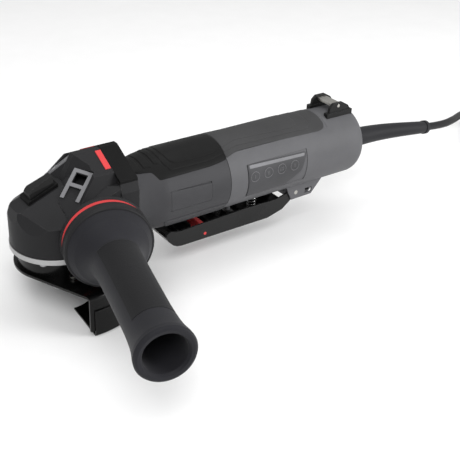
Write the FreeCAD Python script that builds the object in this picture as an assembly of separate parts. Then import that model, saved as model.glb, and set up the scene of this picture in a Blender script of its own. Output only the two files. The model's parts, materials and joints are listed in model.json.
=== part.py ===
"""Paddle-switch angle grinder for 125 mm wheels, as an assembly of separate solids.

Millimetres, +Z up. The spindle turns about the Z axis and its free thread starts at the origin.
The motor axis runs along +X, MOTOR_Z above the origin, and the side handle points towards -Y.
"""
import FreeCAD, Part
import math
import os

V = FreeCAD.Vector
X_DIR = V(1, 0, 0)
Y_DIR = V(0, 1, 0)
Z_DIR = V(0, 0, 1)

# ---- overall layout ---------------------------------------------------------------------------
MOTOR_Z = 50.0            # height of the motor axis above the wheel's seat
FLANGE_FRONT_X = 40.0     # front of the gear case's rear flange
FLANGE_REAR_X = 56.0      # joint between the gear case and the motor housing
SEAM_X = 150.0            # joint between the motor housing and the rear housing
REAR_END_X = 312.0        # rear end of the housing
REST_Z = -25.0            # the surface the grinder lies on, under the guard
RUN_GAP = 0.05            # radial clearance of a running shaft
SLIDE_GAP = 0.3           # clearance between sliding or turning faces
SEAT_GAP = 0.05           # clearance between a part and the seat it is fixed in

# ---- gear case --------------------------------------------------------------------------------
CASE_R = 38.0             # round nose about the spindle
CASE_HALF_W = 36.0
CASE_BOTTOM_Z = 30.5
CASE_TOP_Z = 80.0         # flat top that the hood covers
CASE_REAR_BOTTOM_Z = 18.0
NOSE_EDGE_X = -36.0       # where the nose's front turns into its sloping top
NOSE_EDGE_Z = 65.0
NOSE_SLOPE = 0.404        # rise of the nose's top towards the rear
SHOULDER_Y = 10.0         # half width of the sloping top before its side slopes
SHOULDER_FALL = 0.65      # fall of the side slopes
GEAR_ROOM_R = 28.5
GEAR_ROOM_TOP_Z = 47.0
BUSH_BOTTOM_Z = 57.0
BUSH_TOP_Z = 67.0
BUSH_R = 8.0
FLANGE_SCREW_RING = 28.0  # distance of the flange screws from the motor axis
FLANGE_SCREW_R = 1.75
FLANGE_HEAD_R = 3.3

# ---- hood and neck band -----------------------------------------------------------------------
HOOD_TOP_Z = 100.6
HOOD_TOP_HALF_W = 2.7
HOOD_WALL = 2.5
ROOF_FALL = 0.52          # fall of the roof beside its flat top
EAVE_Y = 25.5
VENT_TOP_FRONT = V(15.2, -6.9, 91.5)
VENT_TOP_REAR = V(25.7, -19.9, 89.0)
VENT_FOOT_FRONT = V(-5.2, -17.0, 73.1)
VENT_ROWS = ((4.0, 13.0), (16.0, 25.0))    # openings, measured down the vent
VENT_COLUMN = (3.6, 13.2)                  # and along it
HOOD_BROW = V(16.0, -2.7, 99.5)            # top of the hood's middle face, between the two vents
HOOD_FOOT = V(5.4, -3.0, 80.0)             # and its foot
STRIP_W = 5.0
STRIP_SPAN = (4.5, 21.5)                   # distances of the coloured strips' ends from the middle
FRAME_BAR = 3.0           # width of the vent frame's bars
FRAME_REAR = 16.4         # the frame's rear edge, measured along the vent
FRAME_RISE = 1.2          # how far the bars stand proud
BAND_HALF_W = 34.5
BAND_THICK = 2.5

# ---- spindle ----------------------------------------------------------------------------------
THREAD_R = 7.0            # M14
THREAD_LENGTH = 18.0
THREAD_CHAMFER = 1.0
JOURNAL_R = 7.5
SPINDLE_BEARING_R = 17.5
SPINDLE_BEARING_Z0 = 14.5
SPINDLE_BEARING_W = 11.0
SPINDLE_TOP_R = 5.0
SPINDLE_TOP_Z = 66.0
FLANGE_R = 20.0
FLANGE_SEAT_Z = 2.0
FLANGE_TOP_Z = 7.0
PILOT_R = 11.11           # fits the 22.23 mm hole of a wheel

# ---- bevel gears ------------------------------------------------------------------------------
TOOTH_INSET = 0.25         # from the rim of the blank to the ends of the teeth
GEAR_MODULE = 1.3
GEAR_TEETH = 35
PINION_TEETH = 11
FACE_WIDTH = 7.5
ADDENDUM = 0.85 * GEAR_MODULE
DEDENDUM = 1.15 * GEAR_MODULE
TOOTH_SIDE = math.tan(math.radians(22.0))
GEAR_TOOTH_HALF = 0.19 * math.pi * GEAR_MODULE
PINION_TOOTH_HALF = 0.175 * math.pi * GEAR_MODULE
LOCK_HOLES = 6            # kidney-shaped, so the pin finds one easily
LOCK_HOLE_HALF_DEG = 6.0

# ---- spindle lock -----------------------------------------------------------------------------
LOCK_PIN_X = -13.0
LOCK_PIN_R = 2.0
LOCK_TRAVEL = 4.5
LOCK_X0 = -23.5
LOCK_X1 = -3.0
LOCK_HALF_W = 5.5
LOCK_RISE = 9.0           # how far the button stands above the nose
LOCK_SPRING_Z = 66.0

# ---- motor ------------------------------------------------------------------------------------
SHAFT_R = 5.0
SHAFT_FRONT_X = 14.0
SHAFT_REAR_X = 165.0
FRONT_BEARING_R = 15.0
FRONT_BEARING_X0 = 43.0
FRONT_BEARING_W = 9.0
FAN_X0 = 60.0
FAN_X1 = 70.0
FAN_R = 24.0
STATOR_X0 = 88.0
STATOR_X1 = 126.0
CORE_R = 16.5
AIR_GAP = 0.5
COMMUTATOR_X0 = 134.0
COMMUTATOR_X1 = 147.0
COMMUTATOR_R = 11.0
REAR_BEARING_R = 11.0
REAR_BEARING_X0 = 156.0
REAR_BEARING_W = 7.0

# ---- housings ---------------------------------------------------------------------------------
BARREL_R = 34.0
BARREL_TAIL_R = 33.7
NECK_R = 30.0
NECK_BORE_R = 25.5
BARREL_START_X = 88.0
HOUSING_WALL = 3.0
TAIL_ROUND = 12.0
PAD_RISE = 0.8
PANEL_DEPTH = 0.8
BADGE = (88.5, 130.0, 3.0, 31.0)     # side panels: start and end along X, middle and spread in degrees
INFO = (168.0, 236.5, -1.5, 56.0)
PANEL_GAP = 0.1

# ---- bearing plate and guard ------------------------------------------------------------------
PLATE_BOTTOM_Z = 26.0
PLATE_NECK_R = 30.0
PLATE_NECK_Z = 13.0
SEAL_R = 13.0
GUARD_R = 70.0
GUARD_SHEET = 2.0
GUARD_TOP_Z = 12.0
GUARD_LAP_Z = -1.0        # where the upper pressing laps over the lower one
GUARD_FACE_DEG = -7.0     # the direction the guard's closed half faces
COLLAR_R = 33.3
COLLAR_TOP_Z = 22.5
COVER_INNER_R = 28.0
GUARD_LEVER_DEG = -98.0

# ---- side handle (lengths are measured along the handle from the motor axis) -------------------
HANDLE_X = 29.0           # where the handle's line crosses the motor axis
HANDLE_LEAN_DEG = 14.5    # lean towards the nose
BOSS_R = 12.5
BOSS_END = 50.0
HANDLE_STUD_R = 4.0       # M8
HANDLE_HOLE_START = 34.0
HANDLE_DISC_R = 35.0
DISC_END = 56.0
RING_END = 60.5
RIM_END = 70.3
DOME_R = 29.0
GRIP_R = 18.6
GRIP_END = 209.0
MOUTH_R = 16.4
CUP_DEPTH = 55.0
INLAY_SPAN = (92.0, 181.0)   # the grip's inlay
INLAY_HALF_DEG = 52.0

# ---- paddle and its switch ---------------------------------------------------------------------
PADDLE_PIN_X = 239.0
PADDLE_PIN_Z = 14.0
PADDLE_PIN_R = 2.0
PADDLE_HALF_W = 16.5
PADDLE_WALL = 1.8
BELLY_HALF_W = 14.0
BELLY_Z = 7.5
CHEEK_GAP = 0.5           # between the paddle's arms and the cheeks outside them
CHEEK_WALL = 1.5
PLUNGER_X = 172.0
PLUNGER_R = 2.5
LOCK_OFF_X = 135.0
LOCK_OFF_PIN_Z = -0.5

# ---- cord --------------------------------------------------------------------------------------
CORD_D = 8.0
CORD_EXIT_Z = 44.0
BUSH_ROOT_R = 10.0
BUSH_TIP_R = 6.0
CORD_BUSH_PATH = [V(312, 0, 44), V(366, -5, 43.8), V(417, -12, 40)]
CORD_ROUTE = [V(417, -12, 40), V(446, -9.5, 35), V(482, 4, 28.5), V(522, 25, 20), V(560, 46, 3),
              V(592, 61, -13), V(618, 68, -21)]
COIL_CENTRE = V(648.0, 14.0, REST_Z)
COIL_MID_R = 45.0
COIL_ROW = 4              # turns side by side
COIL_LAYERS = 2
COIL_IN_DEG = 100.0       # where the cord runs on to the coil
COIL_OUT_DEG = 10.0       # where it leaves the coil
CORD_TAIL = [V(708.5, -4, -12.6), V(709, -34, -12), V(709, -56, -12)]
PLUG_LENGTH = 42.0
PLUG_HALF_W = 17.5
PLUG_HALF_H = 13.0
PLUG_PIN_R = 2.4
PLUG_PIN_SPACING = 19.0
PLUG_PIN_LENGTH = 19.0


# ---- general shapes ----------------------------------------------------------------------------
def block(x0, x1, y0, y1, z0, z1):
    return Part.makeBox(x1 - x0, y1 - y0, z1 - z0, V(x0, y0, z0))


def rod(start, direction, radius, length):
    return Part.makeCylinder(radius, length, start, direction)


def rod_x(radius, x0, x1, y=0.0, z=MOTOR_Z):
    return rod(V(x0, y, z), X_DIR, radius, x1 - x0)


def rod_y(radius, y0, y1, x, z):
    return rod(V(x, y0, z), Y_DIR, radius, y1 - y0)


def rod_z(radius, z0, z1, x=0.0, y=0.0):
    return rod(V(x, y, z0), Z_DIR, radius, z1 - z0)


def tube_x(outer, inner, x0, x1):
    return rod_x(outer, x0, x1).cut(rod_x(inner, x0 - 1, x1 + 1))


def tube_z(outer, inner, z0, z1):
    return rod_z(outer, z0, z1).cut(rod_z(inner, z0 - 1, z1 + 1))


def prism(points, direction):
    """A polygon of points pushed along a vector."""
    outline = Part.makePolygon(list(points) + [points[0]])
    return Part.Face(outline).extrude(direction)


def frustum(large, small):
    """A body with flat sides between two outlines of the same shape."""
    count = len(large)
    rings = [large, small]
    for n in range(count):
        after = (n + 1) % count
        rings.append([large[n], large[after], small[after], small[n]])
    faces = [Part.Face(Part.makePolygon(ring + [ring[0]])) for ring in rings]
    body = Part.Solid(Part.makeShell(faces))
    if body.Volume < 0:
        body.reverse()
    return body


def plan_prism(outline, z0, z1):
    return prism([V(x, y, z0) for x, y in outline], V(0, 0, z1 - z0))


def side_prism(outline, y0, y1):
    return prism([V(x, y0, z) for x, z in outline], V(0, y1 - y0, 0))


def cross_prism(outline, x0, x1):
    return prism([V(x0, y, z) for y, z in outline], V(x1 - x0, 0, 0))


def half_space(point, outward):
    """Everything beyond the plane through point, on the side that outward points to."""
    big = 600.0
    box = Part.makeBox(2 * big, 2 * big, big, V(-big, -big, 0))
    box.Placement = FreeCAD.Placement(point, FreeCAD.Rotation(Z_DIR, outward))
    return box


def revolve(edges, centre, axis):
    return Part.Face(Part.Wire(edges)).revolve(centre, axis, 360)


def lathe(points, centre, axis, across):
    """A body turned from a polygon of (distance along axis, radius)."""
    corners = [centre + axis * s + across * r for s, r in points]
    return Part.Face(Part.makePolygon(corners + [corners[0]])).revolve(centre, axis, 360)


def lathe_x(points):
    return lathe(points, V(0, 0, MOTOR_Z), X_DIR, Z_DIR)


def lathe_z(points):
    return lathe(points, V(0, 0, 0), Z_DIR, X_DIR)


def sector_x(inner, outer, x0, x1, middle_deg, spread_deg):
    """Part of a ring about the motor axis; 0 degrees points along -Y and 90 along +Z."""
    face = Part.Face(Part.makePolygon([
        V(x0, -inner, MOTOR_Z), V(x1, -inner, MOTOR_Z), V(x1, -outer, MOTOR_Z),
        V(x0, -outer, MOTOR_Z), V(x0, -inner, MOTOR_Z)]))
    face.rotate(V(0, 0, MOTOR_Z), X_DIR, -(middle_deg - spread_deg / 2))
    return face.revolve(V(0, 0, MOTOR_Z), X_DIR, -spread_deg)


def fuse(shapes):
    first = shapes[0]
    return first.fuse(shapes[1:]) if len(shapes) > 1 else first


def mirrored(shape):
    return shape.mirror(V(0, 0, 0), Y_DIR)


def both_sides(shape):
    return Part.Compound([shape, mirrored(shape)])


def turned(shape, degrees, axis=Z_DIR, centre=V(0, 0, 0)):
    copy = shape.copy()
    copy.rotate(centre, axis, degrees)
    return copy


def around(shape, count, axis=Z_DIR, centre=V(0, 0, 0), start=0.0):
    return [turned(shape, start + 360.0 * i / count, axis, centre) for i in range(count)]


def coil_spring(centre, coil_r, wire_r, height, turns):
    """A round-wire spring standing on centre, along +Z."""
    pitch = height / turns
    helix = Part.makeHelix(pitch, height, coil_r)
    section = Part.Wire(Part.makeCircle(wire_r, V(coil_r, 0, 0), Y_DIR))
    spring = Part.Wire(helix).makePipeShell([section], True, True)
    spring.translate(centre)
    return spring


# ---- gear case ---------------------------------------------------------------------------------
def case_plan(extra=0.0):
    """Outline of the gear case and the bearing plate from above: a round nose and straight sides."""
    radius = CASE_R + extra
    half = CASE_HALF_W + extra
    corner = math.sqrt(radius * radius - half * half)
    arc = Part.Arc(V(corner, -half, 0), V(-radius, 0, 0), V(corner, half, 0)).toShape()
    rear = FLANGE_FRONT_X
    lines = [Part.makeLine(V(corner, half, 0), V(rear, half, 0)),
             Part.makeLine(V(rear, half, 0), V(rear, -half, 0)),
             Part.makeLine(V(rear, -half, 0), V(corner, -half, 0))]
    return Part.Wire([arc] + lines)


def plan_solid(z0, z1, extra=0.0):
    solid = Part.Face(case_plan(extra)).extrude(V(0, 0, z1 - z0))
    solid.translate(V(0, 0, z0))
    return solid


def nose_z(x):
    """Height of the nose's sloping top above a place on the spindle's line."""
    return NOSE_EDGE_Z + NOSE_SLOPE * (x - NOSE_EDGE_X)


def case_outer():
    """The gear case as a solid block, before it is hollowed."""
    body = plan_solid(CASE_BOTTOM_Z, CASE_TOP_Z)
    body = body.cut(half_space(V(0, 0, nose_z(0)), V(-NOSE_SLOPE, 0, 1)))
    for side in (-1, 1):
        edge = V(0, side * SHOULDER_Y, nose_z(0))
        body = body.cut(half_space(edge, V(-NOSE_SLOPE, side * SHOULDER_FALL, 1)))
    body = body.cut(half_space(V(-36.5, 0, 62), V(-1, 0, 0.22)))
    for side in (-1, 1):
        body = body.cut(half_space(V(-31, side * 17, 60), V(-0.75, side * 0.55, 0.3)))
    return body


def flange_section(shrink=0.0):
    """The rear flange's outline, as (y, z), from its bottom left corner round."""
    half = CASE_HALF_W + 1.0 - shrink
    roof_y = BAND_HALF_W - shrink
    roof_z = roof_height(BAND_HALF_W) - BAND_THICK - shrink
    top = HOOD_TOP_Z - BAND_THICK - shrink
    bottom = CASE_REAR_BOTTOM_Z + shrink
    right = [(22.0, bottom), (half, bottom + 15.0), (half, 74.0 - shrink), (roof_y, roof_z), (HOOD_TOP_HALF_W, top)]
    left = [(-y, z) for y, z in reversed(right)]
    return right + left


def handle_direction(side=-1):
    lean = math.radians(HANDLE_LEAN_DEG)
    return V(-math.sin(lean), side * math.cos(lean), 0)


def handle_point(distance, side=-1):
    return V(HANDLE_X, 0, MOTOR_Z) + handle_direction(side) * distance


def case_screw_places():
    front = (CASE_R - 4.5) / math.sqrt(2)
    return [(-front, -front), (-front, front), (30.0, -32.0), (30.0, 32.0)]


def gear_case():
    """Aluminium casting that holds the bevel gears, the bearings and the side handle's bosses."""
    body = case_outer()
    body = body.fuse(cross_prism(flange_section(), FLANGE_FRONT_X, FLANGE_REAR_X))
    for side in (-1, 1):
        boss = rod(handle_point(HANDLE_HOLE_START - 6, side), handle_direction(side), BOSS_R,
                   BOSS_END - HANDLE_HOLE_START + 6)
        body = body.fuse(boss)
    body = body.cut(rod_z(GEAR_ROOM_R, CASE_BOTTOM_Z - 1, GEAR_ROOM_TOP_Z))
    body = body.cut(lathe_z([(GEAR_ROOM_TOP_Z, 0), (GEAR_ROOM_TOP_Z, 20.0), (BUSH_BOTTOM_Z, 14.0),
                             (BUSH_BOTTOM_Z, 0)]))
    body = body.cut(rod_z(BUSH_R + SEAT_GAP, BUSH_BOTTOM_Z - 1, BUSH_TOP_Z + 1))
    body = body.cut(rod_x(12.5, 8.0, FRONT_BEARING_X0))
    body = body.cut(rod_x(FRONT_BEARING_R + SEAT_GAP, FRONT_BEARING_X0 - 0.2, FLANGE_REAR_X + 1))
    body = body.cut(rod_x(NECK_BORE_R - 1.0, FRONT_BEARING_X0 + FRONT_BEARING_W, FLANGE_REAR_X + 1))
    body = body.cut(air_duct())
    body = body.cut(rod_z(2.6, GEAR_ROOM_TOP_Z - 1, CASE_TOP_Z, LOCK_PIN_X))
    body = body.cut(rod_z(4.8, LOCK_SPRING_Z, CASE_TOP_Z, LOCK_PIN_X))
    body = body.cut(lock_well(SLIDE_GAP, -LOCK_TRAVEL - 1.5))
    for side in (-1, 1):
        hole = rod(handle_point(HANDLE_HOLE_START, side), handle_direction(side), HANDLE_STUD_R,
                   BOSS_END)
        body = body.cut(hole)
    for x, y in case_screw_places():
        body = body.cut(rod_z(2.0 + SEAT_GAP, CASE_BOTTOM_Z - 1, CASE_BOTTOM_Z + 14.0, x, y))
    for y, z in flange_screw_places():
        body = body.cut(rod_x(FLANGE_SCREW_R + SEAT_GAP, FLANGE_FRONT_X - 3.0, FLANGE_REAR_X + 1, y, z))
        body = body.cut(screw_access(y, z))
    return body


def screw_access(y, z):
    """Room for a flange screw's head: from the gear room below, and open under the hood above."""
    reach = rod_x(FLANGE_HEAD_R + 0.4, 20.0 if z < MOTOR_Z else FLANGE_FRONT_X - 9.0, FLANGE_FRONT_X, y, z)
    if z < MOTOR_Z:
        return reach.fuse(rod_x(FLANGE_HEAD_R + 0.4, 8.0, 21.0, y, z))
    half = FLANGE_HEAD_R + 0.4
    return reach.fuse(block(FLANGE_FRONT_X - 9.0, FLANGE_FRONT_X, y - half, y + half, z, CASE_TOP_Z + 1))


def air_duct():
    """The cooling air's way from the fan, up through the flange and forward under the hood."""
    half = 13.0
    rise = block(FRONT_BEARING_X0 + 5.5, FLANGE_REAR_X - 3.0, -half, half, MOTOR_Z + 18.5, 89.0)
    ahead = block(FLANGE_FRONT_X - 1, FLANGE_REAR_X - 3.0, -half, half, CASE_TOP_Z + 1.5, 89.0)
    back = block(FRONT_BEARING_X0 + 5.5, FLANGE_REAR_X + 1, -half, half, MOTOR_Z + 18.5, MOTOR_Z + 22.0)
    return fuse([rise, ahead, back])


def flange_screw_places():
    """Centres of the flange screws, all at one distance from the motor axis."""
    places = []
    for degrees in (-27.0, 47.0):
        y = FLANGE_SCREW_RING * math.cos(math.radians(degrees))
        z = MOTOR_Z + FLANGE_SCREW_RING * math.sin(math.radians(degrees))
        places += [(-y, z), (y, z)]
    return places


# ---- hood, vent frames, strip and band ----------------------------------------------------------
def roof_height(y):
    return HOOD_TOP_Z - ROOF_FALL * max(0.0, abs(y) - HOOD_TOP_HALF_W)


def vent_axes():
    """Directions on the near vent face: along its top edge, down its front edge and out of it."""
    along = (VENT_TOP_REAR - VENT_TOP_FRONT).normalize()
    down = (VENT_FOOT_FRONT - VENT_TOP_FRONT).normalize()
    return along, down, upward(down.cross(along))


def on_vent(a0, a1, d0, d1, n0, n1):
    """A block on the near vent face: along it, down it and out of it from its front top corner."""
    along, down, outward = vent_axes()
    corner = VENT_TOP_FRONT + along * a0 + down * d0 + outward * n0
    face = Part.Face(Part.makePolygon([
        corner, corner + along * (a1 - a0), corner + along * (a1 - a0) + down * (d1 - d0),
        corner + down * (d1 - d0), corner]))
    return face.extrude(outward * (n1 - n0))


def beyond(point, outward, shrink, side=-1):
    """The space outside a plane of the hood that is moved inwards by shrink."""
    out = V(outward.x, -side * outward.y, outward.z)
    return half_space(V(point.x, -side * point.y, point.z) - out * shrink, out)


def hood_shell(shrink):
    """The hood's outer form, moved inwards by shrink: a ridge between two wings that carry the vents."""
    reach = EAVE_Y + 8 - shrink
    body = block(-30 + shrink, FLANGE_FRONT_X, -reach, reach, 60, HOOD_TOP_Z - shrink)
    roof = V(0, -ROOF_FALL, 1).normalize()
    wall = V(0, -1.0, 0.35).normalize()
    middle = upward((HOOD_BROW - HOOD_FOOT).cross(Y_DIR))
    brow = upward((VENT_TOP_FRONT - HOOD_BROW).cross(VENT_TOP_REAR - HOOD_BROW))
    inner = upward((VENT_FOOT_FRONT - VENT_TOP_FRONT).cross(HOOD_FOOT - VENT_TOP_FRONT))
    for side in (-1, 1):
        body = body.cut(beyond(V(0, -HOOD_TOP_HALF_W, HOOD_TOP_Z), roof, shrink, side))
        body = body.cut(beyond(V(0, -EAVE_Y, roof_height(EAVE_Y)), wall, shrink, side))
    ridge = body.cut(beyond(HOOD_FOOT, middle, shrink))
    wings = []
    for side in (-1, 1):
        ridge = ridge.cut(beyond(HOOD_BROW, brow, shrink, side))
        wing = body.cut(beyond(VENT_TOP_FRONT, vent_axes()[2], shrink, side))
        wings.append(wing.cut(beyond(VENT_TOP_FRONT, inner, shrink, side)))
    return fuse([ridge] + wings).removeSplitter()


def upward(normal):
    """The unit normal of a plane, on its upper side."""
    unit = normal.normalize()
    return unit if unit.z > 0 else unit * -1


def vent_hood():
    """Plastic hood over the gear case, hollow, with two openings in each side vent."""
    body = hood_shell(0.0)
    inside = hood_shell(HOOD_WALL).cut(half_space(V(FLANGE_FRONT_X - 0.01, 0, 0), X_DIR))
    body = body.cut(inside)
    around_frame = on_vent(0.0, FRAME_REAR + 0.4, 0.0, 40.0, 0.0, 8.0)
    body = body.cut([case_outer(), around_frame, mirrored(around_frame)])
    for d0, d1 in VENT_ROWS:
        opening = on_vent(VENT_COLUMN[0], VENT_COLUMN[1], d0, d1, -HOOD_WALL - 3.0, 2.0)
        body = body.cut(opening).cut(mirrored(opening))
    return biggest(body.cut(strip_prism(0.0)).cut(mirrored(strip_prism(0.0))))


def biggest(shape):
    return max(shape.Solids, key=lambda solid: solid.Volume)


def vent_frames():
    """Grey frames round the vent openings, one on each side."""
    front, top = 0.4, 0.6
    bars = [on_vent(front, front + FRAME_BAR, top, 27.0, 0.0, FRAME_RISE),
            on_vent(FRAME_REAR - FRAME_BAR, FRAME_REAR, top, 27.0, 0.0, FRAME_RISE),
            on_vent(front, FRAME_REAR, top, top + FRAME_BAR, 0.0, FRAME_RISE),
            on_vent(front, FRAME_REAR, VENT_ROWS[0][1], VENT_ROWS[1][0], 0.0, FRAME_RISE)]
    frame = fuse(bars).removeSplitter().cut(case_outer())
    return both_sides(biggest(frame))


def strip_prism(shrink):
    """Place of the coloured strip on one slope of the hood, along its rear edge."""
    inner, outer = -STRIP_SPAN[0] - shrink, -STRIP_SPAN[1] + shrink
    low = [(y, roof_height(y) - 1.0 + shrink) for y in (inner, outer)]
    high = [(y, roof_height(y) + 0.6) for y in (outer, inner)]
    rear = FLANGE_FRONT_X - 0.6 - shrink
    return cross_prism(low + high, rear - STRIP_W + 2 * shrink, rear)


def hood_accent_strip():
    """Coloured strips let into both slopes of the hood."""
    return both_sides(strip_prism(0.05))


def neck_band():
    """Roof over the gear case's rear flange."""
    outer = [(-BAND_HALF_W, roof_height(BAND_HALF_W)), (-HOOD_TOP_HALF_W, HOOD_TOP_Z + 0.5),
             (HOOD_TOP_HALF_W, HOOD_TOP_Z + 0.5), (BAND_HALF_W, roof_height(BAND_HALF_W))]
    inner = [(y, z - BAND_THICK) for y, z in outer]
    inner[1] = (-HOOD_TOP_HALF_W, HOOD_TOP_Z - BAND_THICK)
    inner[2] = (HOOD_TOP_HALF_W, HOOD_TOP_Z - BAND_THICK)
    return cross_prism(outer + inner[::-1], FLANGE_FRONT_X, FLANGE_REAR_X)


# ---- bearing plate and its fittings ---------------------------------------------------------------
def bearing_plate():
    """Cast plate under the gear case, with the neck that the guard turns on."""
    body = plan_solid(PLATE_BOTTOM_Z, CASE_BOTTOM_Z, 0.6)
    body = body.fuse(rod_z(PLATE_NECK_R, PLATE_NECK_Z, PLATE_BOTTOM_Z))
    for side in (-1, 1):
        y0, y1 = sorted((side * 26.0, side * (CASE_HALF_W + 0.6)))
        body = body.fuse(block(-8.0, 30.0, y0, y1, PLATE_BOTTOM_Z - 3.0, PLATE_BOTTOM_Z))
    body = body.cut(tube_z(60.0, PLATE_NECK_R, PLATE_NECK_Z - 1, PLATE_BOTTOM_Z).common(
        rod_z(COLLAR_R + 1.0, PLATE_NECK_Z - 1, PLATE_BOTTOM_Z)))
    body = body.cut(rod_z(SPINDLE_BEARING_R + SEAT_GAP, SPINDLE_BEARING_Z0, CASE_BOTTOM_Z + 1))
    body = body.cut(rod_z(SEAL_R, PLATE_NECK_Z - 1, CASE_BOTTOM_Z))
    for x, y in case_screw_places():
        body = body.cut(rod_z(2.2, PLATE_BOTTOM_Z - 4, CASE_BOTTOM_Z + 1, x, y))
    return body


def case_screws():
    """Cap screws: four hold the plate from below, four hold the motor housing from the front."""
    screws = []
    for x, y in case_screw_places():
        under = PLATE_BOTTOM_Z if x < 0 else PLATE_BOTTOM_Z - 3.0
        head = rod_z(3.4, under - 2.6, under, x, y)
        head = head.cut(hex_socket(V(x, y, under - 2.7), Z_DIR, 1.6, 1.6))
        screws.append(head.fuse(rod_z(2.0, under, CASE_BOTTOM_Z + 13.0, x, y)))
    for y, z in flange_screw_places():
        head = rod_x(FLANGE_HEAD_R, FLANGE_FRONT_X - 2.8, FLANGE_FRONT_X, y, z)
        screws.append(head.fuse(rod_x(FLANGE_SCREW_R, FLANGE_FRONT_X, FLANGE_REAR_X + 5.5, y, z)))
    return Part.Compound(screws)


def hex_socket(start, direction, radius, depth):
    corners = [V(radius * math.cos(math.radians(60 * i)), radius * math.sin(math.radians(60 * i)), 0)
               for i in range(6)]
    socket = prism(corners, V(0, 0, depth))
    socket.Placement = FreeCAD.Placement(start, FreeCAD.Rotation(Z_DIR, direction))
    return socket


def ball_bearing(centre, axis, across, bore, outer, width):
    """A sealed bearing: two races and the shields between them, as one solid."""
    step = (outer - bore) * 0.28
    points = [(0, bore), (0, bore + step), (0.6, bore + step), (0.6, outer - step), (0, outer - step),
              (0, outer), (width, outer), (width, outer - step), (width - 0.6, outer - step),
              (width - 0.6, bore + step), (width, bore + step), (width, bore)]
    return lathe(points, centre, axis, across)


def spindle_bearing():
    return ball_bearing(V(0, 0, SPINDLE_BEARING_Z0), Z_DIR, X_DIR, JOURNAL_R + RUN_GAP,
                        SPINDLE_BEARING_R, SPINDLE_BEARING_W)


def spindle_bush():
    """Needle bush in the top of the gear case."""
    return tube_z(BUSH_R, SPINDLE_TOP_R + RUN_GAP, BUSH_BOTTOM_Z, BUSH_TOP_Z)


def dust_seal():
    """Felt ring in the mouth of the neck, round the spindle."""
    return tube_z(SEAL_R - SEAT_GAP, JOURNAL_R + SLIDE_GAP, PLATE_NECK_Z - 2.0, SPINDLE_BEARING_Z0)


# ---- spindle ----------------------------------------------------------------------------------
def spindle():
    """Output spindle: free M14 thread, bearing journal, collar, gear seat and top journal."""
    collar_z = SPINDLE_BEARING_Z0 + SPINDLE_BEARING_W
    points = [(-THREAD_LENGTH, 0), (-THREAD_LENGTH, THREAD_R - THREAD_CHAMFER),
              (-THREAD_LENGTH + THREAD_CHAMFER, THREAD_R), (0, THREAD_R), (0, JOURNAL_R),
              (collar_z, JOURNAL_R), (collar_z, 9.5), (collar_z + 2.5, 9.5), (collar_z + 2.5, 6.0),
              (45.0, 6.0), (45.0, SPINDLE_TOP_R), (SPINDLE_TOP_Z, SPINDLE_TOP_R), (SPINDLE_TOP_Z, 0)]
    body = lathe_z(points)
    return body.cut(hex_socket(V(0, 0, -THREAD_LENGTH - 0.1), Z_DIR, 3.5, 8.0))


def inner_flange():
    """Flange that the wheel seats on, with its pilot."""
    points = [(0, JOURNAL_R + 0.02), (0, PILOT_R), (FLANGE_SEAT_Z, PILOT_R), (FLANGE_SEAT_Z, FLANGE_R),
              (4.5, FLANGE_R), (FLANGE_TOP_Z, 15.0), (FLANGE_TOP_Z, JOURNAL_R + 0.02)]
    return lathe_z(points)


def bevel_tooth(generator, outward, across, half_width):
    """One straight tooth, narrowing towards the point where the two gears' axes cross."""
    apex = V(0, 0, MOTOR_Z)
    cone = GEAR_MODULE * math.hypot(GEAR_TEETH, PINION_TEETH) / 2
    shrink = (cone - FACE_WIDTH) / cone
    pitch = generator * (cone - TOOTH_INSET)
    root = half_width + TOOTH_SIDE * (DEDENDUM + 0.3)
    tip = half_width - TOOTH_SIDE * ADDENDUM
    outline = [pitch - outward * (DEDENDUM + 0.3) - across * root, pitch + outward * ADDENDUM - across * tip,
               pitch + outward * ADDENDUM + across * tip, pitch - outward * (DEDENDUM + 0.3) + across * root]
    return frustum([apex + p for p in outline], [apex + p * shrink for p in outline])


def pitch_directions():
    """The line of contact of the pitch cones, and its normal away from the large gear."""
    length = math.hypot(GEAR_TEETH, PINION_TEETH)
    line = V(GEAR_TEETH / length, 0, -PINION_TEETH / length)
    return line, V(PINION_TEETH / length, 0, GEAR_TEETH / length)


def cone_point(distance, height):
    """(x, z) at a distance along the contact line and a height above it, seen from the apex."""
    line, up = pitch_directions()
    p = V(0, 0, MOTOR_Z) + line * distance + up * height
    return p.x, p.z


def bevel_gear():
    """Large bevel gear on the spindle, with holes for the spindle lock's pin."""
    line, up = pitch_directions()
    cone = GEAR_MODULE * math.hypot(GEAR_TEETH, PINION_TEETH) / 2
    outer_x, outer_z = cone_point(cone, -DEDENDUM)
    inner_x, inner_z = cone_point(cone - FACE_WIDTH, -DEDENDUM * 0.69)
    back_x, back_z = cone_point(cone, -DEDENDUM - 3.0)
    points = [(28.0, 6.02), (28.0, 13.0), (back_z, back_x), (outer_z, outer_x), (inner_z, inner_x),
              (inner_z - 3.0, inner_x - 0.5), (41.0, 9.0), (44.5, 9.0), (44.5, 6.02)]
    blank = lathe_z(points)
    tooth = bevel_tooth(line, up, Y_DIR, GEAR_TOOTH_HALF)
    teeth = around(tooth, GEAR_TEETH, start=180.0 / GEAR_TEETH)
    gear = fuse([blank] + teeth)
    for hole in around(lock_hole(27.0, 46.0), LOCK_HOLES):
        gear = gear.cut(hole)
    return gear


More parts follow.
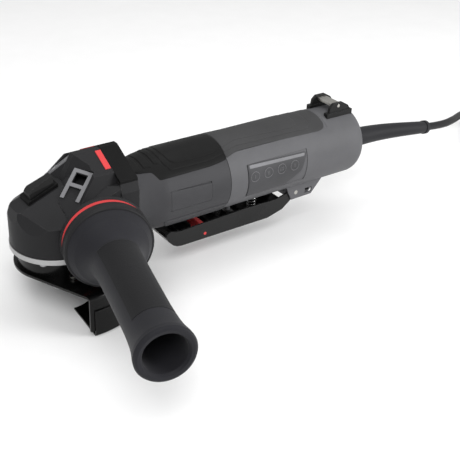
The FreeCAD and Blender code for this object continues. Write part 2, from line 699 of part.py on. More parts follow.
def lock_hole(z0, z1):
    """One kidney-shaped hole: a ring sector with round ends."""
    radius = LOCK_PIN_R + 0.4
    ring = tube_z(-LOCK_PIN_X + radius, -LOCK_PIN_X - radius, z0, z1)
    reach = 3.0 * math.tan(math.radians(LOCK_HOLE_HALF_DEG)) * -LOCK_PIN_X
    wedge = plan_prism([(0, 0), (3.0 * LOCK_PIN_X, -reach), (3.0 * LOCK_PIN_X, reach)], z0, z1)
    ends = [turned(rod_z(radius, z0, z1, LOCK_PIN_X), side * LOCK_HOLE_HALF_DEG) for side in (-1, 1)]
    return fuse([ring.common(wedge)] + ends).removeSplitter()


def pinion():
    """Small bevel gear on the motor shaft."""
    line, up = pitch_directions()
    cone = GEAR_MODULE * math.hypot(GEAR_TEETH, PINION_TEETH) / 2
    outer_x, outer_z = cone_point(cone, DEDENDUM)
    inner_x, inner_z = cone_point(cone - FACE_WIDTH, DEDENDUM * 0.69)
    outer_r = MOTOR_Z - outer_z
    inner_r = max(MOTOR_Z - inner_z, SHAFT_R * 0.6)
    bore = pinion_bore()
    points = [(inner_x, bore), (inner_x, inner_r), (outer_x, outer_r), (outer_x + 2.5, 7.5), (33.0, 7.5), (33.0, bore)]
    blank = lathe_x(points)
    tooth = bevel_tooth(line, up * -1, Y_DIR, PINION_TOOTH_HALF)
    teeth = around(tooth, PINION_TEETH, X_DIR, V(0, 0, MOTOR_Z))
    return fuse([blank] + teeth)


def pinion_bore():
    return 3.0


# ---- motor --------------------------------------------------------------------------------------
def armature_shaft():
    points = [(SHAFT_FRONT_X, 0), (SHAFT_FRONT_X, pinion_bore() - 0.02), (33.0, pinion_bore() - 0.02),
              (33.0, SHAFT_R), (REAR_BEARING_X0 - 2, SHAFT_R), (REAR_BEARING_X0 - 2, 4.0),
              (SHAFT_REAR_X, 4.0), (SHAFT_REAR_X, 0)]
    return lathe_x(points)


def armature_core():
    """Slotted iron core on the shaft."""
    core = tube_x(CORE_R, SHAFT_R + 0.02, STATOR_X0, STATOR_X1)
    slot = block(STATOR_X0 - 1, STATOR_X1 + 1, -1.0, 1.0, MOTOR_Z + 10.0, MOTOR_Z + CORE_R + 1)
    for cut in around(slot, 12, X_DIR, V(0, 0, MOTOR_Z)):
        core = core.cut(cut)
    return core


def armature_windings():
    """The wound ends of the armature, in front of and behind the core."""
    ends = []
    for x0, x1 in ((STATOR_X0 - 9, STATOR_X0 - 0.2), (STATOR_X1 + 0.2, COMMUTATOR_X0 - 0.2)):
        ends.append(tube_x(14.0, SHAFT_R + 0.02, x0, x1))
    return Part.Compound(ends)


def commutator():
    body = tube_x(COMMUTATOR_R, SHAFT_R + 0.02, COMMUTATOR_X0, COMMUTATOR_X1)
    slot = block(COMMUTATOR_X0 + 2, COMMUTATOR_X1 + 1, -0.3, 0.3, MOTOR_Z + 10.0, MOTOR_Z + 12.0)
    for cut in around(slot, 24, X_DIR, V(0, 0, MOTOR_Z)):
        body = body.cut(cut)
    return body


def fan():
    """Radial fan: a back disc, a hub and curved-back blades."""
    disc = tube_x(FAN_R, SHAFT_R + 0.02, FAN_X0, FAN_X0 + 1.6)
    hub = tube_x(9.0, SHAFT_R + 0.02, FAN_X0, FAN_X1)
    blade = block(FAN_X0 + 1, FAN_X1, -0.8, 0.8, MOTOR_Z + 8.5, MOTOR_Z + FAN_R - 0.5)
    blade.rotate(V(0, 0, MOTOR_Z + 8.5), X_DIR, 20)
    return fuse([disc, hub] + around(blade, 14, X_DIR, V(0, 0, MOTOR_Z)))


def fan_baffle():
    """Ring that guides the air into the fan."""
    outer = NECK_BORE_R - SEAT_GAP
    return lathe_x([(FAN_X1 + 1.5, 15.0), (FAN_X1 + 1.5, outer), (FAN_X1 + 4.5, outer), (FAN_X1 + 4.5, 19.0),
                    (FAN_X1 + 3.0, 15.0)])


def stator():
    """Iron field ring with two poles."""
    ring = tube_x(stator_r(), CORE_R + AIR_GAP, STATOR_X0, STATOR_X1)
    for middle in (90, 270):
        window = sector_x(CORE_R + AIR_GAP - 1, stator_r() - 5.0, STATOR_X0 - 1, STATOR_X1 + 1, middle, 70)
        ring = ring.cut(window)
    return ring


def stator_r():
    return BARREL_R - HOUSING_WALL - SEAT_GAP - 1.0


def field_coils():
    """Copper field coils in the stator's two windows."""
    coils = []
    for middle in (90, 270):
        coils.append(sector_x(CORE_R + AIR_GAP + 1.0, stator_r() - 5.4, STATOR_X0 - 7, STATOR_X1 + 5, middle, 64))
    return Part.Compound(coils)


def motor_bearings():
    """Ball bearings in front of and behind the motor."""
    front = ball_bearing(V(FRONT_BEARING_X0, 0, MOTOR_Z), X_DIR, Z_DIR, SHAFT_R + RUN_GAP,
                         FRONT_BEARING_R, FRONT_BEARING_W)
    rear = ball_bearing(V(REAR_BEARING_X0, 0, MOTOR_Z), X_DIR, Z_DIR, 4.0 + RUN_GAP,
                        REAR_BEARING_R, REAR_BEARING_W)
    return Part.Compound([front, rear])


def bearing_bridge():
    """Spoked carrier that holds the rear bearing in the rear housing."""
    ring = tube_x(inner_r() - SLIDE_GAP, inner_r() - 3.0, SEAM_X + 5, SEAM_X + 15)
    cup = tube_x(REAR_BEARING_R + 3.0, REAR_BEARING_R + SEAT_GAP, SEAM_X + 5, SEAM_X + 15)
    end = tube_x(REAR_BEARING_R + 3.0, 6.0, SEAM_X + 15, SEAM_X + 17)
    spoke = block(SEAM_X + 6, SEAM_X + 14, -2.5, 2.5, MOTOR_Z + REAR_BEARING_R + 1.0, MOTOR_Z + inner_r() - 1.0)
    return fuse([ring, cup, end] + around(spoke, 6, X_DIR, V(0, 0, MOTOR_Z), start=30.0))


def inner_r():
    return BARREL_R - HOUSING_WALL


def brush_gear():
    """Brass boxes and the carbon brushes that they hold, one of each on each side."""
    x = (COMMUTATOR_X0 + COMMUTATOR_X1) / 2 + 1
    box = block(x - 4.6, x + 4.6, -inner_r() + 1.5, -COMMUTATOR_R - 2.0, MOTOR_Z - 4.1, MOTOR_Z + 4.1)
    box = box.cut(block(x - 3.2, x + 3.2, -inner_r() + 2.7, -COMMUTATOR_R, MOTOR_Z - 2.7, MOTOR_Z + 2.7))
    brush = block(x - 3.1, x + 3.1, -COMMUTATOR_R - 15.0, -COMMUTATOR_R - 0.2, MOTOR_Z - 2.6, MOTOR_Z + 2.6)
    return Part.Compound([box, mirrored(box), brush, mirrored(brush)])


# ---- housings -------------------------------------------------------------------------------------
def motor_housing():
    """Barrel round the motor, waisted behind the gear case."""
    waist = Part.BSplineCurve()
    waist.interpolate([V(FLANGE_REAR_X, 0, MOTOR_Z + 31.5), V(64, 0, MOTOR_Z + NECK_R),
                       V(76, 0, MOTOR_Z + 31.9), V(BARREL_START_X, 0, MOTOR_Z + BARREL_R)])
    rear = V(SEAM_X, 0, MOTOR_Z + BARREL_R)
    edges = [waist.toShape(), Part.makeLine(V(BARREL_START_X, 0, MOTOR_Z + BARREL_R), rear),
             Part.makeLine(rear, V(SEAM_X, 0, MOTOR_Z)),
             Part.makeLine(V(SEAM_X, 0, MOTOR_Z), V(FLANGE_REAR_X, 0, MOTOR_Z)),
             Part.makeLine(V(FLANGE_REAR_X, 0, MOTOR_Z), V(FLANGE_REAR_X, 0, MOTOR_Z + 31.5))]
    body = revolve(edges, V(0, 0, MOTOR_Z), X_DIR)
    body = body.cut(rod_x(NECK_BORE_R, FLANGE_REAR_X - 1, BARREL_START_X - 12))
    body = body.cut(rod_x(stator_r() + SEAT_GAP, BARREL_START_X - 4, SEAM_X + 1))
    body = body.cut(lathe_x([(BARREL_START_X - 13, 0), (BARREL_START_X - 13, NECK_BORE_R),
                             (BARREL_START_X - 3, stator_r()), (BARREL_START_X - 3, 0)]))
    recess = panel_sector(BADGE, BARREL_R - PANEL_DEPTH, BARREL_R + 5)
    body = body.cut(recess).cut(mirrored(recess))
    body = body.cut(sector_x(BARREL_R - 0.4, BARREL_R + 5, *front_pad_span(), 90, 80))
    for y, z in flange_screw_places():
        body = body.cut(rod_x(FLANGE_SCREW_R + SEAT_GAP, FLANGE_REAR_X - 1, FLANGE_REAR_X + 6.0, y, z))
    return body


def panel_sector(panel, inner, outer, shrink=0.0):
    """A side panel's space between two radii, smaller all round by shrink."""
    x0, x1, middle, spread = panel
    return sector_x(inner, outer, x0 + shrink, x1 - shrink, middle, spread - 4 * shrink)


def front_pad_span():
    return BARREL_START_X + 1, SEAM_X + 1


def front_top_pad():
    """Soft pad on top of the motor housing."""
    x0 = front_pad_span()[0]
    return sector_x(BARREL_R - 0.4, BARREL_R + PAD_RISE, x0, SEAM_X - 0.05, 90, 80)


def rear_solid(shrink, sweep=360):
    """The rear housing's outer form, moved inwards by shrink; a sweep of 180 makes the half towards -Y."""
    radius = BARREL_R - shrink
    tail = BARREL_TAIL_R - shrink
    end = REAR_END_X - shrink
    rounding = TAIL_ROUND - shrink * 0.5
    slant = rounding * (1 - math.sqrt(0.5))
    top = [V(SEAM_X, 0, MOTOR_Z + radius), V(end - rounding, 0, MOTOR_Z + tail)]
    corner = Part.Arc(top[1], V(end - slant, 0, MOTOR_Z + tail - slant), V(end, 0, MOTOR_Z + tail - rounding))
    edges = [Part.makeLine(top[0], top[1]), corner.toShape(),
             Part.makeLine(V(end, 0, MOTOR_Z + tail - rounding), V(end, 0, MOTOR_Z)),
             Part.makeLine(V(end, 0, MOTOR_Z), V(SEAM_X, 0, MOTOR_Z)),
             Part.makeLine(V(SEAM_X, 0, MOTOR_Z), top[0])]
    return Part.Face(Part.Wire(edges)).revolve(V(0, 0, MOTOR_Z), X_DIR, sweep)


def belly_outline():
    """Side outline of the boss under the rear housing that carries the paddle's pin."""
    return [(226.0, 24.0), (230.0, 15.0), (234.0, BELLY_Z), (258.0, BELLY_Z + 0.5), (266.0, 17.0), (272.0, 24.0)]


def belly_slot():
    reach = PADDLE_HALF_W + CHEEK_GAP + CHEEK_WALL + 1
    return block(250.0, 258.5, -reach, reach, 10.5, 15.5)


def rear_half():
    """The rear housing's half towards -Y."""
    cheek = side_prism(belly_outline(), -PADDLE_HALF_W - CHEEK_GAP - CHEEK_WALL, -PADDLE_HALF_W - CHEEK_GAP)
    body = rear_solid(0.0, 180).fuse([side_prism(belly_outline(), -BELLY_HALF_W, 0.0), cheek])
    room = turned(rear_solid(HOUSING_WALL), -90, X_DIR, V(0, 0, MOTOR_Z))
    body = body.cut(room)
    body = body.cut(rod_y(PADDLE_PIN_R + 0.02, -40, 40, PADDLE_PIN_X, PADDLE_PIN_Z))
    body = body.cut(belly_slot())
    body = body.cut(rod_z(PLUNGER_R + 0.6, 0, 30, PLUNGER_X))
    body = body.cut(rod_x(BUSH_ROOT_R - 2.0, REAR_END_X - 10, REAR_END_X + 1, 0, CORD_EXIT_Z))
    body = body.cut(panel_sector(INFO, BARREL_R - PANEL_DEPTH, BARREL_R + 5))
    body = body.cut(sector_x(BARREL_R - 0.5, BARREL_R + 5, *rear_pad_span(), 90, 80))
    for angle in (-50, -25, 0, 25, 50):
        slot = block(REAR_END_X - 6, REAR_END_X + 1, -1.2, 1.2, MOTOR_Z + 11, MOTOR_Z + 19)
        slot.rotate(V(0, 0, MOTOR_Z), X_DIR, angle)
        body = body.cut(slot)
    return biggest(body)


def rear_pad_span():
    return SEAM_X - 1, 268.0


def housing_screw_places():
    return [(198.0, MOTOR_Z + 22.0), (262.0, MOTOR_Z + 20.0), (207.5, MOTOR_Z - 22.0), (294.0, MOTOR_Z - 17.0)]


def rear_housing(half, side):
    """One half with its screw pillars; the screws' heads sit in the half towards +Y."""
    for x, z in housing_screw_places():
        pillar = rod_y(4.5, min(0.0, side * inner_r()), max(0.0, side * inner_r()), x, z)
        half = half.fuse(pillar.common(rear_solid(HOUSING_WALL - 0.5)))
        half = half.cut(rod_y(1.6, -16.0, inner_r(), x, z))
        half = half.cut(rod_y(3.2, 20.0, 40.0, x, z))
    return half


def rear_housing_left():
    """Half of the rear housing on the handle's side."""
    return rear_housing(rear_half(), -1)


def rear_housing_right():
    """The other half, with the screws' heads."""
    return rear_housing(mirrored(rear_half()), 1)


def rear_top_pad():
    """Raised pad on top of the rear housing."""
    x1 = rear_pad_span()[1]
    return sector_x(BARREL_R - 0.5, BARREL_R + PAD_RISE - 0.2, SEAM_X + 0.05, x1 - 0.05, 90, 79.6)


def side_panels():
    """Blank panels let into both sides of the motor housing and of the rear housing."""
    plates = []
    for panel in (BADGE, INFO):
        plate = panel_sector(panel, BARREL_R - PANEL_DEPTH + 0.02, BARREL_R - 0.2, PANEL_GAP)
        plates += [plate, mirrored(plate)]
    return Part.Compound(plates)


def housing_screws():
    """Four screws that close the rear housing's halves, with their heads towards +Y."""
    screws = []
    for x, z in housing_screw_places():
        head = rod_y(2.9, 20.0, 22.5, x, z)
        head = head.cut(block(x - 2.0, x + 2.0, 21.6, 23, z - 0.4, z + 0.4))
        screws.append(head.fuse(rod_y(1.5, -12.0, 20.0, x, z)))
    return Part.Compound(screws)


# ---- spindle lock ---------------------------------------------------------------------------------
def along_nose(rise):
    """The half space above a plane parallel to the nose's sloping top, rise above it."""
    return half_space(V(0, 0, nose_z(0) + rise), V(-NOSE_SLOPE, 0, 1))


def lock_well(gap, bottom):
    """Space of the lock button in the gear case, from bottom below the nose's top upwards."""
    well = block(LOCK_X0 - gap, LOCK_X1 + gap, -LOCK_HALF_W - gap, LOCK_HALF_W + gap, 50, 110)
    return well.common(along_nose(bottom))


def lock_guide():
    """Frame round the lock button, screwed to the nose."""
    rim = 2.5
    frame = block(LOCK_X0 - rim, LOCK_X1 + rim, -LOCK_HALF_W - rim, LOCK_HALF_W + rim, 50, 110)
    frame = frame.common(along_nose(0.02)).cut(along_nose(3.0))
    return frame.cut(lock_well(SLIDE_GAP, -1.0))


def lock_button():
    """Push button of the spindle lock, with slanting sides."""
    button = lock_well(0, -0.5).cut(along_nose(LOCK_RISE))
    for side in (-1, 1):
        slant = half_space(V(0, side * LOCK_HALF_W, nose_z(0) + 3.5), V(-0.1, side * 1.0, 0.42))
        button = button.cut(slant)
    button = button.cut(half_space(V(LOCK_X0, 0, nose_z(LOCK_X0) + 6.0), V(-1, 0, 0.6)))
    return button.cut(rod_z(LOCK_PIN_R + 0.02, 50, nose_z(LOCK_PIN_X) + 3.0, LOCK_PIN_X))


def lock_pin():
    """Steel pin that the button pushes into the gear."""
    return rod_z(LOCK_PIN_R, 42.0, nose_z(LOCK_PIN_X) + 2.9, LOCK_PIN_X)


def lock_spring():
    height = nose_z(LOCK_PIN_X) - 3.2 - LOCK_SPRING_Z
    return coil_spring(V(LOCK_PIN_X, 0, LOCK_SPRING_Z + 0.4), 3.3, 0.4, height, 3.0)


# ---- guard ----------------------------------------------------------------------------------------
def polar(radius, degrees, z=0.0):
    return V(radius * math.cos(math.radians(degrees)), radius * math.sin(math.radians(degrees)), z)


def guard_plan(z):
    """Outline of the guard from above: half a disc, drawn in to a round collar behind."""
    back_r = COLLAR_R + 3.0
    start = GUARD_FACE_DEG - 90
    end = GUARD_FACE_DEG + 90
    wrap = math.degrees(math.acos(back_r / GUARD_R))
    half_disc = Part.Arc(polar(GUARD_R, start, z), polar(GUARD_R, GUARD_FACE_DEG, z), polar(GUARD_R, end, z))
    round_back = Part.Arc(polar(back_r, end + wrap, z), polar(back_r, GUARD_FACE_DEG + 180, z),
                          polar(back_r, start - wrap + 360, z))
    return Part.Wire([half_disc.toShape(), Part.makeLine(polar(GUARD_R, end, z), polar(back_r, end + wrap, z)),
                      round_back.toShape(),
                      Part.makeLine(polar(back_r, start - wrap, z), polar(GUARD_R, start, z))])


def guard_turn(edges_or_points, start, spread):
    """A profile of (radius, z) points swept about the spindle from start degrees."""
    corners = [V(r, 0, z) for r, z in edges_or_points]
    face = Part.Face(Part.makePolygon(corners + [corners[0]]))
    face.rotate(V(0, 0, 0), Z_DIR, start)
    return face.revolve(V(0, 0, 0), Z_DIR, spread)


def guard_shell():
    """Pressed steel guard: top sheet, rolled edge and skirt."""
    start = GUARD_FACE_DEG - 90
    sheet = Part.Face(guard_plan(GUARD_TOP_Z - GUARD_SHEET)).extrude(V(0, 0, GUARD_SHEET))
    inside = GUARD_R - GUARD_SHEET
    skirt = guard_turn([(inside, REST_Z + 5), (GUARD_R, REST_Z + 5), (GUARD_R, GUARD_TOP_Z),
                        (inside - 4, GUARD_TOP_Z), (inside - 4, GUARD_TOP_Z - GUARD_SHEET),
                        (inside - 1.5, GUARD_TOP_Z - GUARD_SHEET), (inside, GUARD_TOP_Z - GUARD_SHEET - 1.5)],
                       start, 180)
    body = sheet.fuse(skirt)
    corner = GUARD_SHEET + 1.5
    square = Part.Wire([Part.makeLine(V(GUARD_R - corner, 0, GUARD_TOP_Z + 1), V(GUARD_R + 1, 0, GUARD_TOP_Z + 1)),
                        Part.makeLine(V(GUARD_R + 1, 0, GUARD_TOP_Z + 1), V(GUARD_R + 1, 0, GUARD_TOP_Z - corner)),
                        Part.makeLine(V(GUARD_R + 1, 0, GUARD_TOP_Z - corner), V(GUARD_R, 0, GUARD_TOP_Z - corner)),
                        Part.Arc(V(GUARD_R, 0, GUARD_TOP_Z - corner),
                                 V(GUARD_R - corner * 0.293, 0, GUARD_TOP_Z - corner * 0.293),
                                 V(GUARD_R - corner, 0, GUARD_TOP_Z)).toShape(),
                        Part.makeLine(V(GUARD_R - corner, 0, GUARD_TOP_Z), V(GUARD_R - corner, 0, GUARD_TOP_Z + 1))])
    face = Part.Face(square)
    face.rotate(V(0, 0, 0), Z_DIR, start - 5)
    body = body.cut(face.revolve(V(0, 0, 0), Z_DIR, 190))
    body = body.cut(rod_z(COLLAR_R, 0, 20))
    pivot = polar(COLLAR_R + 3.8, GUARD_LEVER_DEG)
    return body.cut(rod_z(2.05, 0, 20, pivot.x, pivot.y))


def guard_bottom_cover():
    """Cover that closes the guard below for cutting, lapped over the skirt."""
    inner = GUARD_R + SEAT_GAP
    outer = inner + 1.2
    return guard_turn([(COVER_INNER_R, REST_Z), (outer - 1.5, REST_Z), (outer, REST_Z + 1.5),
                       (outer, GUARD_LAP_Z), (inner, GUARD_LAP_Z), (inner, REST_Z + 1.6),
                       (COVER_INNER_R, REST_Z + 1.6)], GUARD_FACE_DEG - 87, 174)


def guard_collar():
    """Ring that turns on the bearing plate's neck."""
    return tube_z(COLLAR_R - 0.02, PLATE_NECK_R + SLIDE_GAP, GUARD_TOP_Z - GUARD_SHEET, COLLAR_TOP_Z)


def guard_lever():
    """Flat lever with its pivot pin, hugging the collar."""
    radius = COLLAR_R + 3.8
    z0 = GUARD_TOP_Z + SLIDE_GAP
    face = Part.Face(Part.makePolygon([V(COLLAR_R + 1.0, 0, z0), V(COLLAR_R + 6.8, 0, z0),
                                       V(COLLAR_R + 6.8, 0, z0 + 2.0), V(COLLAR_R + 1.0, 0, z0 + 2.0),
                                       V(COLLAR_R + 1.0, 0, z0)]))
    bar = face.revolve(V(0, 0, 0), Z_DIR, 40)
    eye = rod_z(3.4, z0, z0 + 2.0, radius)
    pin = rod_z(2.0, GUARD_TOP_Z - GUARD_SHEET - 0.5, z0 + 2.0, radius)
    thumb = block(COLLAR_R + 1.0, COLLAR_R + 8.0, -2.0, 2.0, z0, z0 + 2.0)
    thumb.rotate(V(0, 0, 0), Z_DIR, 38)
    return turned(fuse([bar, eye, pin, thumb]), GUARD_LEVER_DEG)


# ---- side handle ------------------------------------------------------------------------------------
def handle_lathe(points):
    return lathe(points, V(HANDLE_X, 0, MOTOR_Z), handle_direction(), Z_DIR)


def handle_stud():
    """Threaded steel stud that screws into the gear case."""
    return handle_lathe([(HANDLE_HOLE_START + 1.5, 0), (HANDLE_HOLE_START + 1.5, HANDLE_STUD_R - 0.03),
                         (RING_END + 34.0, HANDLE_STUD_R - 0.03), (RING_END + 34.0, 0)])


def handle_disc():
    """Stiff disc at the handle's root, against the case."""
    bore = HANDLE_STUD_R + SEAT_GAP
    return handle_lathe([(BOSS_END, bore), (BOSS_END, 30.0), (BOSS_END + 1.5, HANDLE_DISC_R - 1.0),
                         (BOSS_END + 2.5, HANDLE_DISC_R), (DISC_END - 1.0, HANDLE_DISC_R),
                         (DISC_END, HANDLE_DISC_R - 1.2), (DISC_END, bore)])


def handle_ring():
    """Soft damping ring between the disc and the grip."""
    bore = HANDLE_STUD_R + SEAT_GAP
    return handle_lathe([(DISC_END, bore), (DISC_END, HANDLE_DISC_R - 1.0), (RING_END, HANDLE_DISC_R - 1.0),
                         (RING_END, bore)])


def grip_curve(grow=0.0):
    """The grip's long outline from the dome to the flared end, moved outwards by grow."""
    stations = [(RIM_END + 6.6, DOME_R), (82.0, 24.2), (88.0, 20.8), (98.0, GRIP_R + 0.6), (120.0, GRIP_R),
                (150.0, GRIP_R - 0.2), (182.0, GRIP_R + 0.2), (195.0, GRIP_R + 1.4), (203.0, 21.6)]
    origin = V(HANDLE_X, 0, MOTOR_Z)
    curve = Part.BSplineCurve()
    curve.interpolate([origin + handle_direction() * s + Z_DIR * (r + grow) for s, r in stations])
    return curve


def handle_edges(points):
    origin = V(HANDLE_X, 0, MOTOR_Z)
    corners = [origin + handle_direction() * s + Z_DIR * r for s, r in points]
    return [Part.makeLine(a, b) for a, b in zip(corners, corners[1:])]


def handle_grip():
    """Rubber-covered grip: rim, dome, handhold and a flared end with a deep mouth."""
    bore = HANDLE_STUD_R + SEAT_GAP
    start = RING_END
    before = [(start, bore), (start, HANDLE_DISC_R - 2.0), (start + 1.8, HANDLE_DISC_R - 0.2),
              (RIM_END - 1.5, HANDLE_DISC_R - 0.2), (RIM_END, HANDLE_DISC_R - 1.5), (RIM_END + 6.6, DOME_R)]
    lip = [(203.0, 21.6), (206.5, 22.0), (208.3, 21.0), (GRIP_END, 19.5), (208.7, MOUTH_R + 0.8),
           (206.5, MOUTH_R - 0.6), (GRIP_END - CUP_DEPTH, MOUTH_R - 2.0), (GRIP_END - CUP_DEPTH, 0),
           (RING_END + 34.5, 0), (RING_END + 34.5, bore), (start, bore)]
    edges = handle_edges(before) + [grip_curve().toShape()] + handle_edges(lip)
    body = revolve(edges, V(HANDLE_X, 0, MOTOR_Z), handle_direction())
    return body.cut(inlay_form(-0.8, 3.0))


def inlay_form(inner, outer):
    """A patch that follows the grip's outline round its top, between two offsets."""
    low = grip_curve(inner)
    high = grip_curve(outer)
    origin = V(HANDLE_X, 0, MOTOR_Z)
    ends = [handle_plane_cut(curve, s) for curve in (low, high) for s in INLAY_SPAN]
    low_edge = low.toShape(ends[0], ends[1])
    high_edge = high.toShape(ends[2], ends[3])
    edges = [low_edge, Part.makeLine(low.value(ends[1]), high.value(ends[3])), high_edge,
             Part.makeLine(high.value(ends[2]), low.value(ends[0]))]
    face = Part.Face(Part.Wire(Part.__sortEdges__(edges)))
    face.rotate(origin, handle_direction(), -INLAY_HALF_DEG)
    return face.revolve(origin, handle_direction(), 2 * INLAY_HALF_DEG)


def handle_plane_cut(curve, distance):
    """The curve's parameter where it passes a distance along the handle."""
    point = handle_point(distance)
    plane = Part.Plane(point, handle_direction())
    hit = curve.intersect(plane)[0][0]
    return curve.parameter(V(hit.X, hit.Y, hit.Z))


def handle_inlay():
    """Soft inlay let into the top of the grip."""
    return inlay_form(-0.78, 0.25)


# ---- paddle and switch --------------------------------------------------------------------------------
def paddle_outline():
    """The paddle's side walls: ski tip, long flat run and the arms up to the pin."""
    return [(95.0, 6.5), (97.5, 2.0), (102.0, -2.5), (106.0, -4.7), (111.0, -5.5), (207.0, -5.5), (225.0, -1.0),
            (238.0, 9.0), (241.5, 11.0), (243.0, 14.0), (241.5, 17.0), (238.0, 17.8), (232.0, 15.5), (222.0, 12.5),
            (214.0, 11.5), (180.0, 12.0), (110.0, 9.5), (103.0, 10.5), (98.5, 11.5), (95.5, 9.8)]


def paddle_floor_outline():
    return [(95.0, 6.5), (97.5, 2.0), (102.0, -2.5), (106.0, -4.7), (111.0, -5.5), (207.0, -5.5), (225.0, -1.0),
            (231.0, 3.7), (229.8, 5.2), (224.0, 0.9), (206.5, -3.5), (111.5, -3.5), (107.0, -2.8), (103.4, -1.0),
            (99.3, 3.2), (97.2, 7.8)]


def paddle():
    """Switch paddle: a channel with a ski tip, cross ribs and the post that works the switch."""
    half = PADDLE_HALF_W
    inner = half - PADDLE_WALL
    wall = side_prism(paddle_outline(), -half, -inner)
    floor = side_prism(paddle_floor_outline(), -half, half)
    ribs = [block(x, x + 1.5, -inner, inner, -4.0, -1.0) for x in (118.0, 152.0, 190.0)]
    post = block(PLUNGER_X - 4, PLUNGER_X + 4, -5, 5, -4.0, 6.0)
    body = fuse([wall, mirrored(wall), floor, post] + ribs)
    body = body.cut(rod_y(PADDLE_PIN_R + RUN_GAP, -half - 1, half + 1, PADDLE_PIN_X, PADDLE_PIN_Z))
    body = body.cut(rod_y(1.5 + RUN_GAP, -half - 1, half + 1, LOCK_OFF_X + 1, LOCK_OFF_PIN_Z))
    return body.cut(block(LOCK_OFF_X - 5.5, LOCK_OFF_X + 5.5, -4.0, 4.0, -8, -3))


def paddle_pin():
    reach = PADDLE_HALF_W + CHEEK_GAP + CHEEK_WALL
    return rod_y(PADDLE_PIN_R, -reach, reach, PADDLE_PIN_X, PADDLE_PIN_Z)


def paddle_spring():
    """Return spring between the paddle's floor and the housing."""
    top = MOTOR_Z - BARREL_R
    return coil_spring(V(200.0, 0, -2.8), 4.0, 0.6, top - 0.8 + 2.8, 6.0)


def lock_off_lever():
    """Safety lever in the paddle: thumb tab below, cross bar above, on its own pin."""
    x = LOCK_OFF_X
    z = LOCK_OFF_PIN_Z
    blade = side_prism([(x - 2.0, z - 12.5), (x + 1.5, z - 12.5), (x + 3.5, z - 2.5), (x + 3.5, z + 2.5),
                        (x + 2.5, z + 8.5), (x - 1.5, z + 8.5), (x - 1.5, z - 2.5)], -3.0, 3.0)
    bar = block(x - 1.5, x + 2.5, -12.5, 12.5, z + 4.5, z + 8.5)
    pin = rod_y(1.5, -PADDLE_HALF_W, PADDLE_HALF_W, x + 1, z)
    return fuse([blade, bar, pin])


def switch_body():
    """Trigger switch on the housing's inside, over the paddle's post."""
    body = block(PLUNGER_X - 4, PLUNGER_X + 26, -9, 9, 28.0, 46.0)
    body = body.cut(rod_z(PLUNGER_R + SLIDE_GAP, 27, 38, PLUNGER_X))
    foot = block(PLUNGER_X + 10, PLUNGER_X + 20, -5, 5, 16.0, 28.0).common(rear_solid(HOUSING_WALL + SEAT_GAP))
    return body.fuse(foot)


def switch_plunger():
    """Plunger that the paddle's post pushes into the switch."""
    return rod_z(PLUNGER_R, 6.3, 33.0, PLUNGER_X)


def control_module():
    """Potted speed and soft-start electronics in the rear housing."""
    body = block(214.0, 256.0, -17, 17, 44.0, 62.0)
    fins = [block(x, x + 1.5, -15, 15, 62.0, 66.0) for x in range(218, 254, 6)]
    return fuse([body] + fins)


# ---- tether anchor --------------------------------------------------------------------------------------
def tether_bracket():
    """Two ears on top of the rear housing that hold the tether bar."""
    ears = []
    for y0 in (-14.0, 11.0):
        ear = side_prism([(275.0, 78.0), (277.0, 90.0), (281.0, 93.5), (292.0, 93.5), (299.0, 89.5), (303.0, 84.0),
                          (303.0, 78.0)], y0, y0 + 3.0)
        foot = block(273.0, 304.0, y0 - 1.0, y0 + 4.0, 78.0, 85.0)
        ears.append(ear.fuse(foot).cut(rear_solid(-0.02)))
    holes = rod_y(1.6, -20, 20, 287.0, 90.6)
    return Part.Compound([biggest(ear.cut(holes)) for ear in ears])


def tether_bar():
    """Steel bar between the ears."""
    bar = block(282.0, 292.0, -10.95, 10.95, 89.3, 91.9)
    return bar.fuse(rod_y(1.55, -14.0, 14.0, 287.0, 90.6)).removeSplitter()


# ---- cord -------------------------------------------------------------------------------------------------
def cord_bush():
    """Tapered bush that guides the cord out of the housing, with a bead at its tip."""
    path = Part.BSplineCurve()
    path.interpolate(CORD_BUSH_PATH, Tangents=[V(1, 0, 0), V(0, 0, 0), tip_direction()],
                     TangentFlags=[True, False, True])
    first, last = path.FirstParameter, path.LastParameter
    rings = []
    for i in range(6):
        share = i / 5.0
        t = first + (last - first) * share
        radius = BUSH_ROOT_R + (BUSH_TIP_R - BUSH_ROOT_R) * share
        rings.append(Part.Wire(Part.makeCircle(radius, path.value(t), path.tangent(t)[0])))
    body = Part.makeLoft(rings, True, False)
    tip = CORD_ROUTE[0]
    bead = rod(tip - tip_direction() * 4.0, tip_direction(), BUSH_TIP_R + 1.0, 4.0)
    neck = rod_x(BUSH_ROOT_R - 2.1, REAR_END_X - 8.0, REAR_END_X + 1.0, 0, CORD_EXIT_Z)
    flange = rod_x(BUSH_ROOT_R + 2.0, REAR_END_X - 8.0, REAR_END_X - 4.0, 0, CORD_EXIT_Z)
    return fuse([body, bead, neck, flange])


def tip_direction():
    return (CORD_ROUTE[1] - CORD_ROUTE[0]).normalize()


def coil_radii():
    return [COIL_MID_R + CORD_D * (i - (COIL_ROW - 1) / 2) for i in range(COIL_ROW)]


def on_coil(degrees, layer):
    """A point of the coil's outermost turn in a layer."""
    height = CORD_D * (layer + 0.5)
    return COIL_CENTRE + polar(max(coil_radii()), degrees, height)


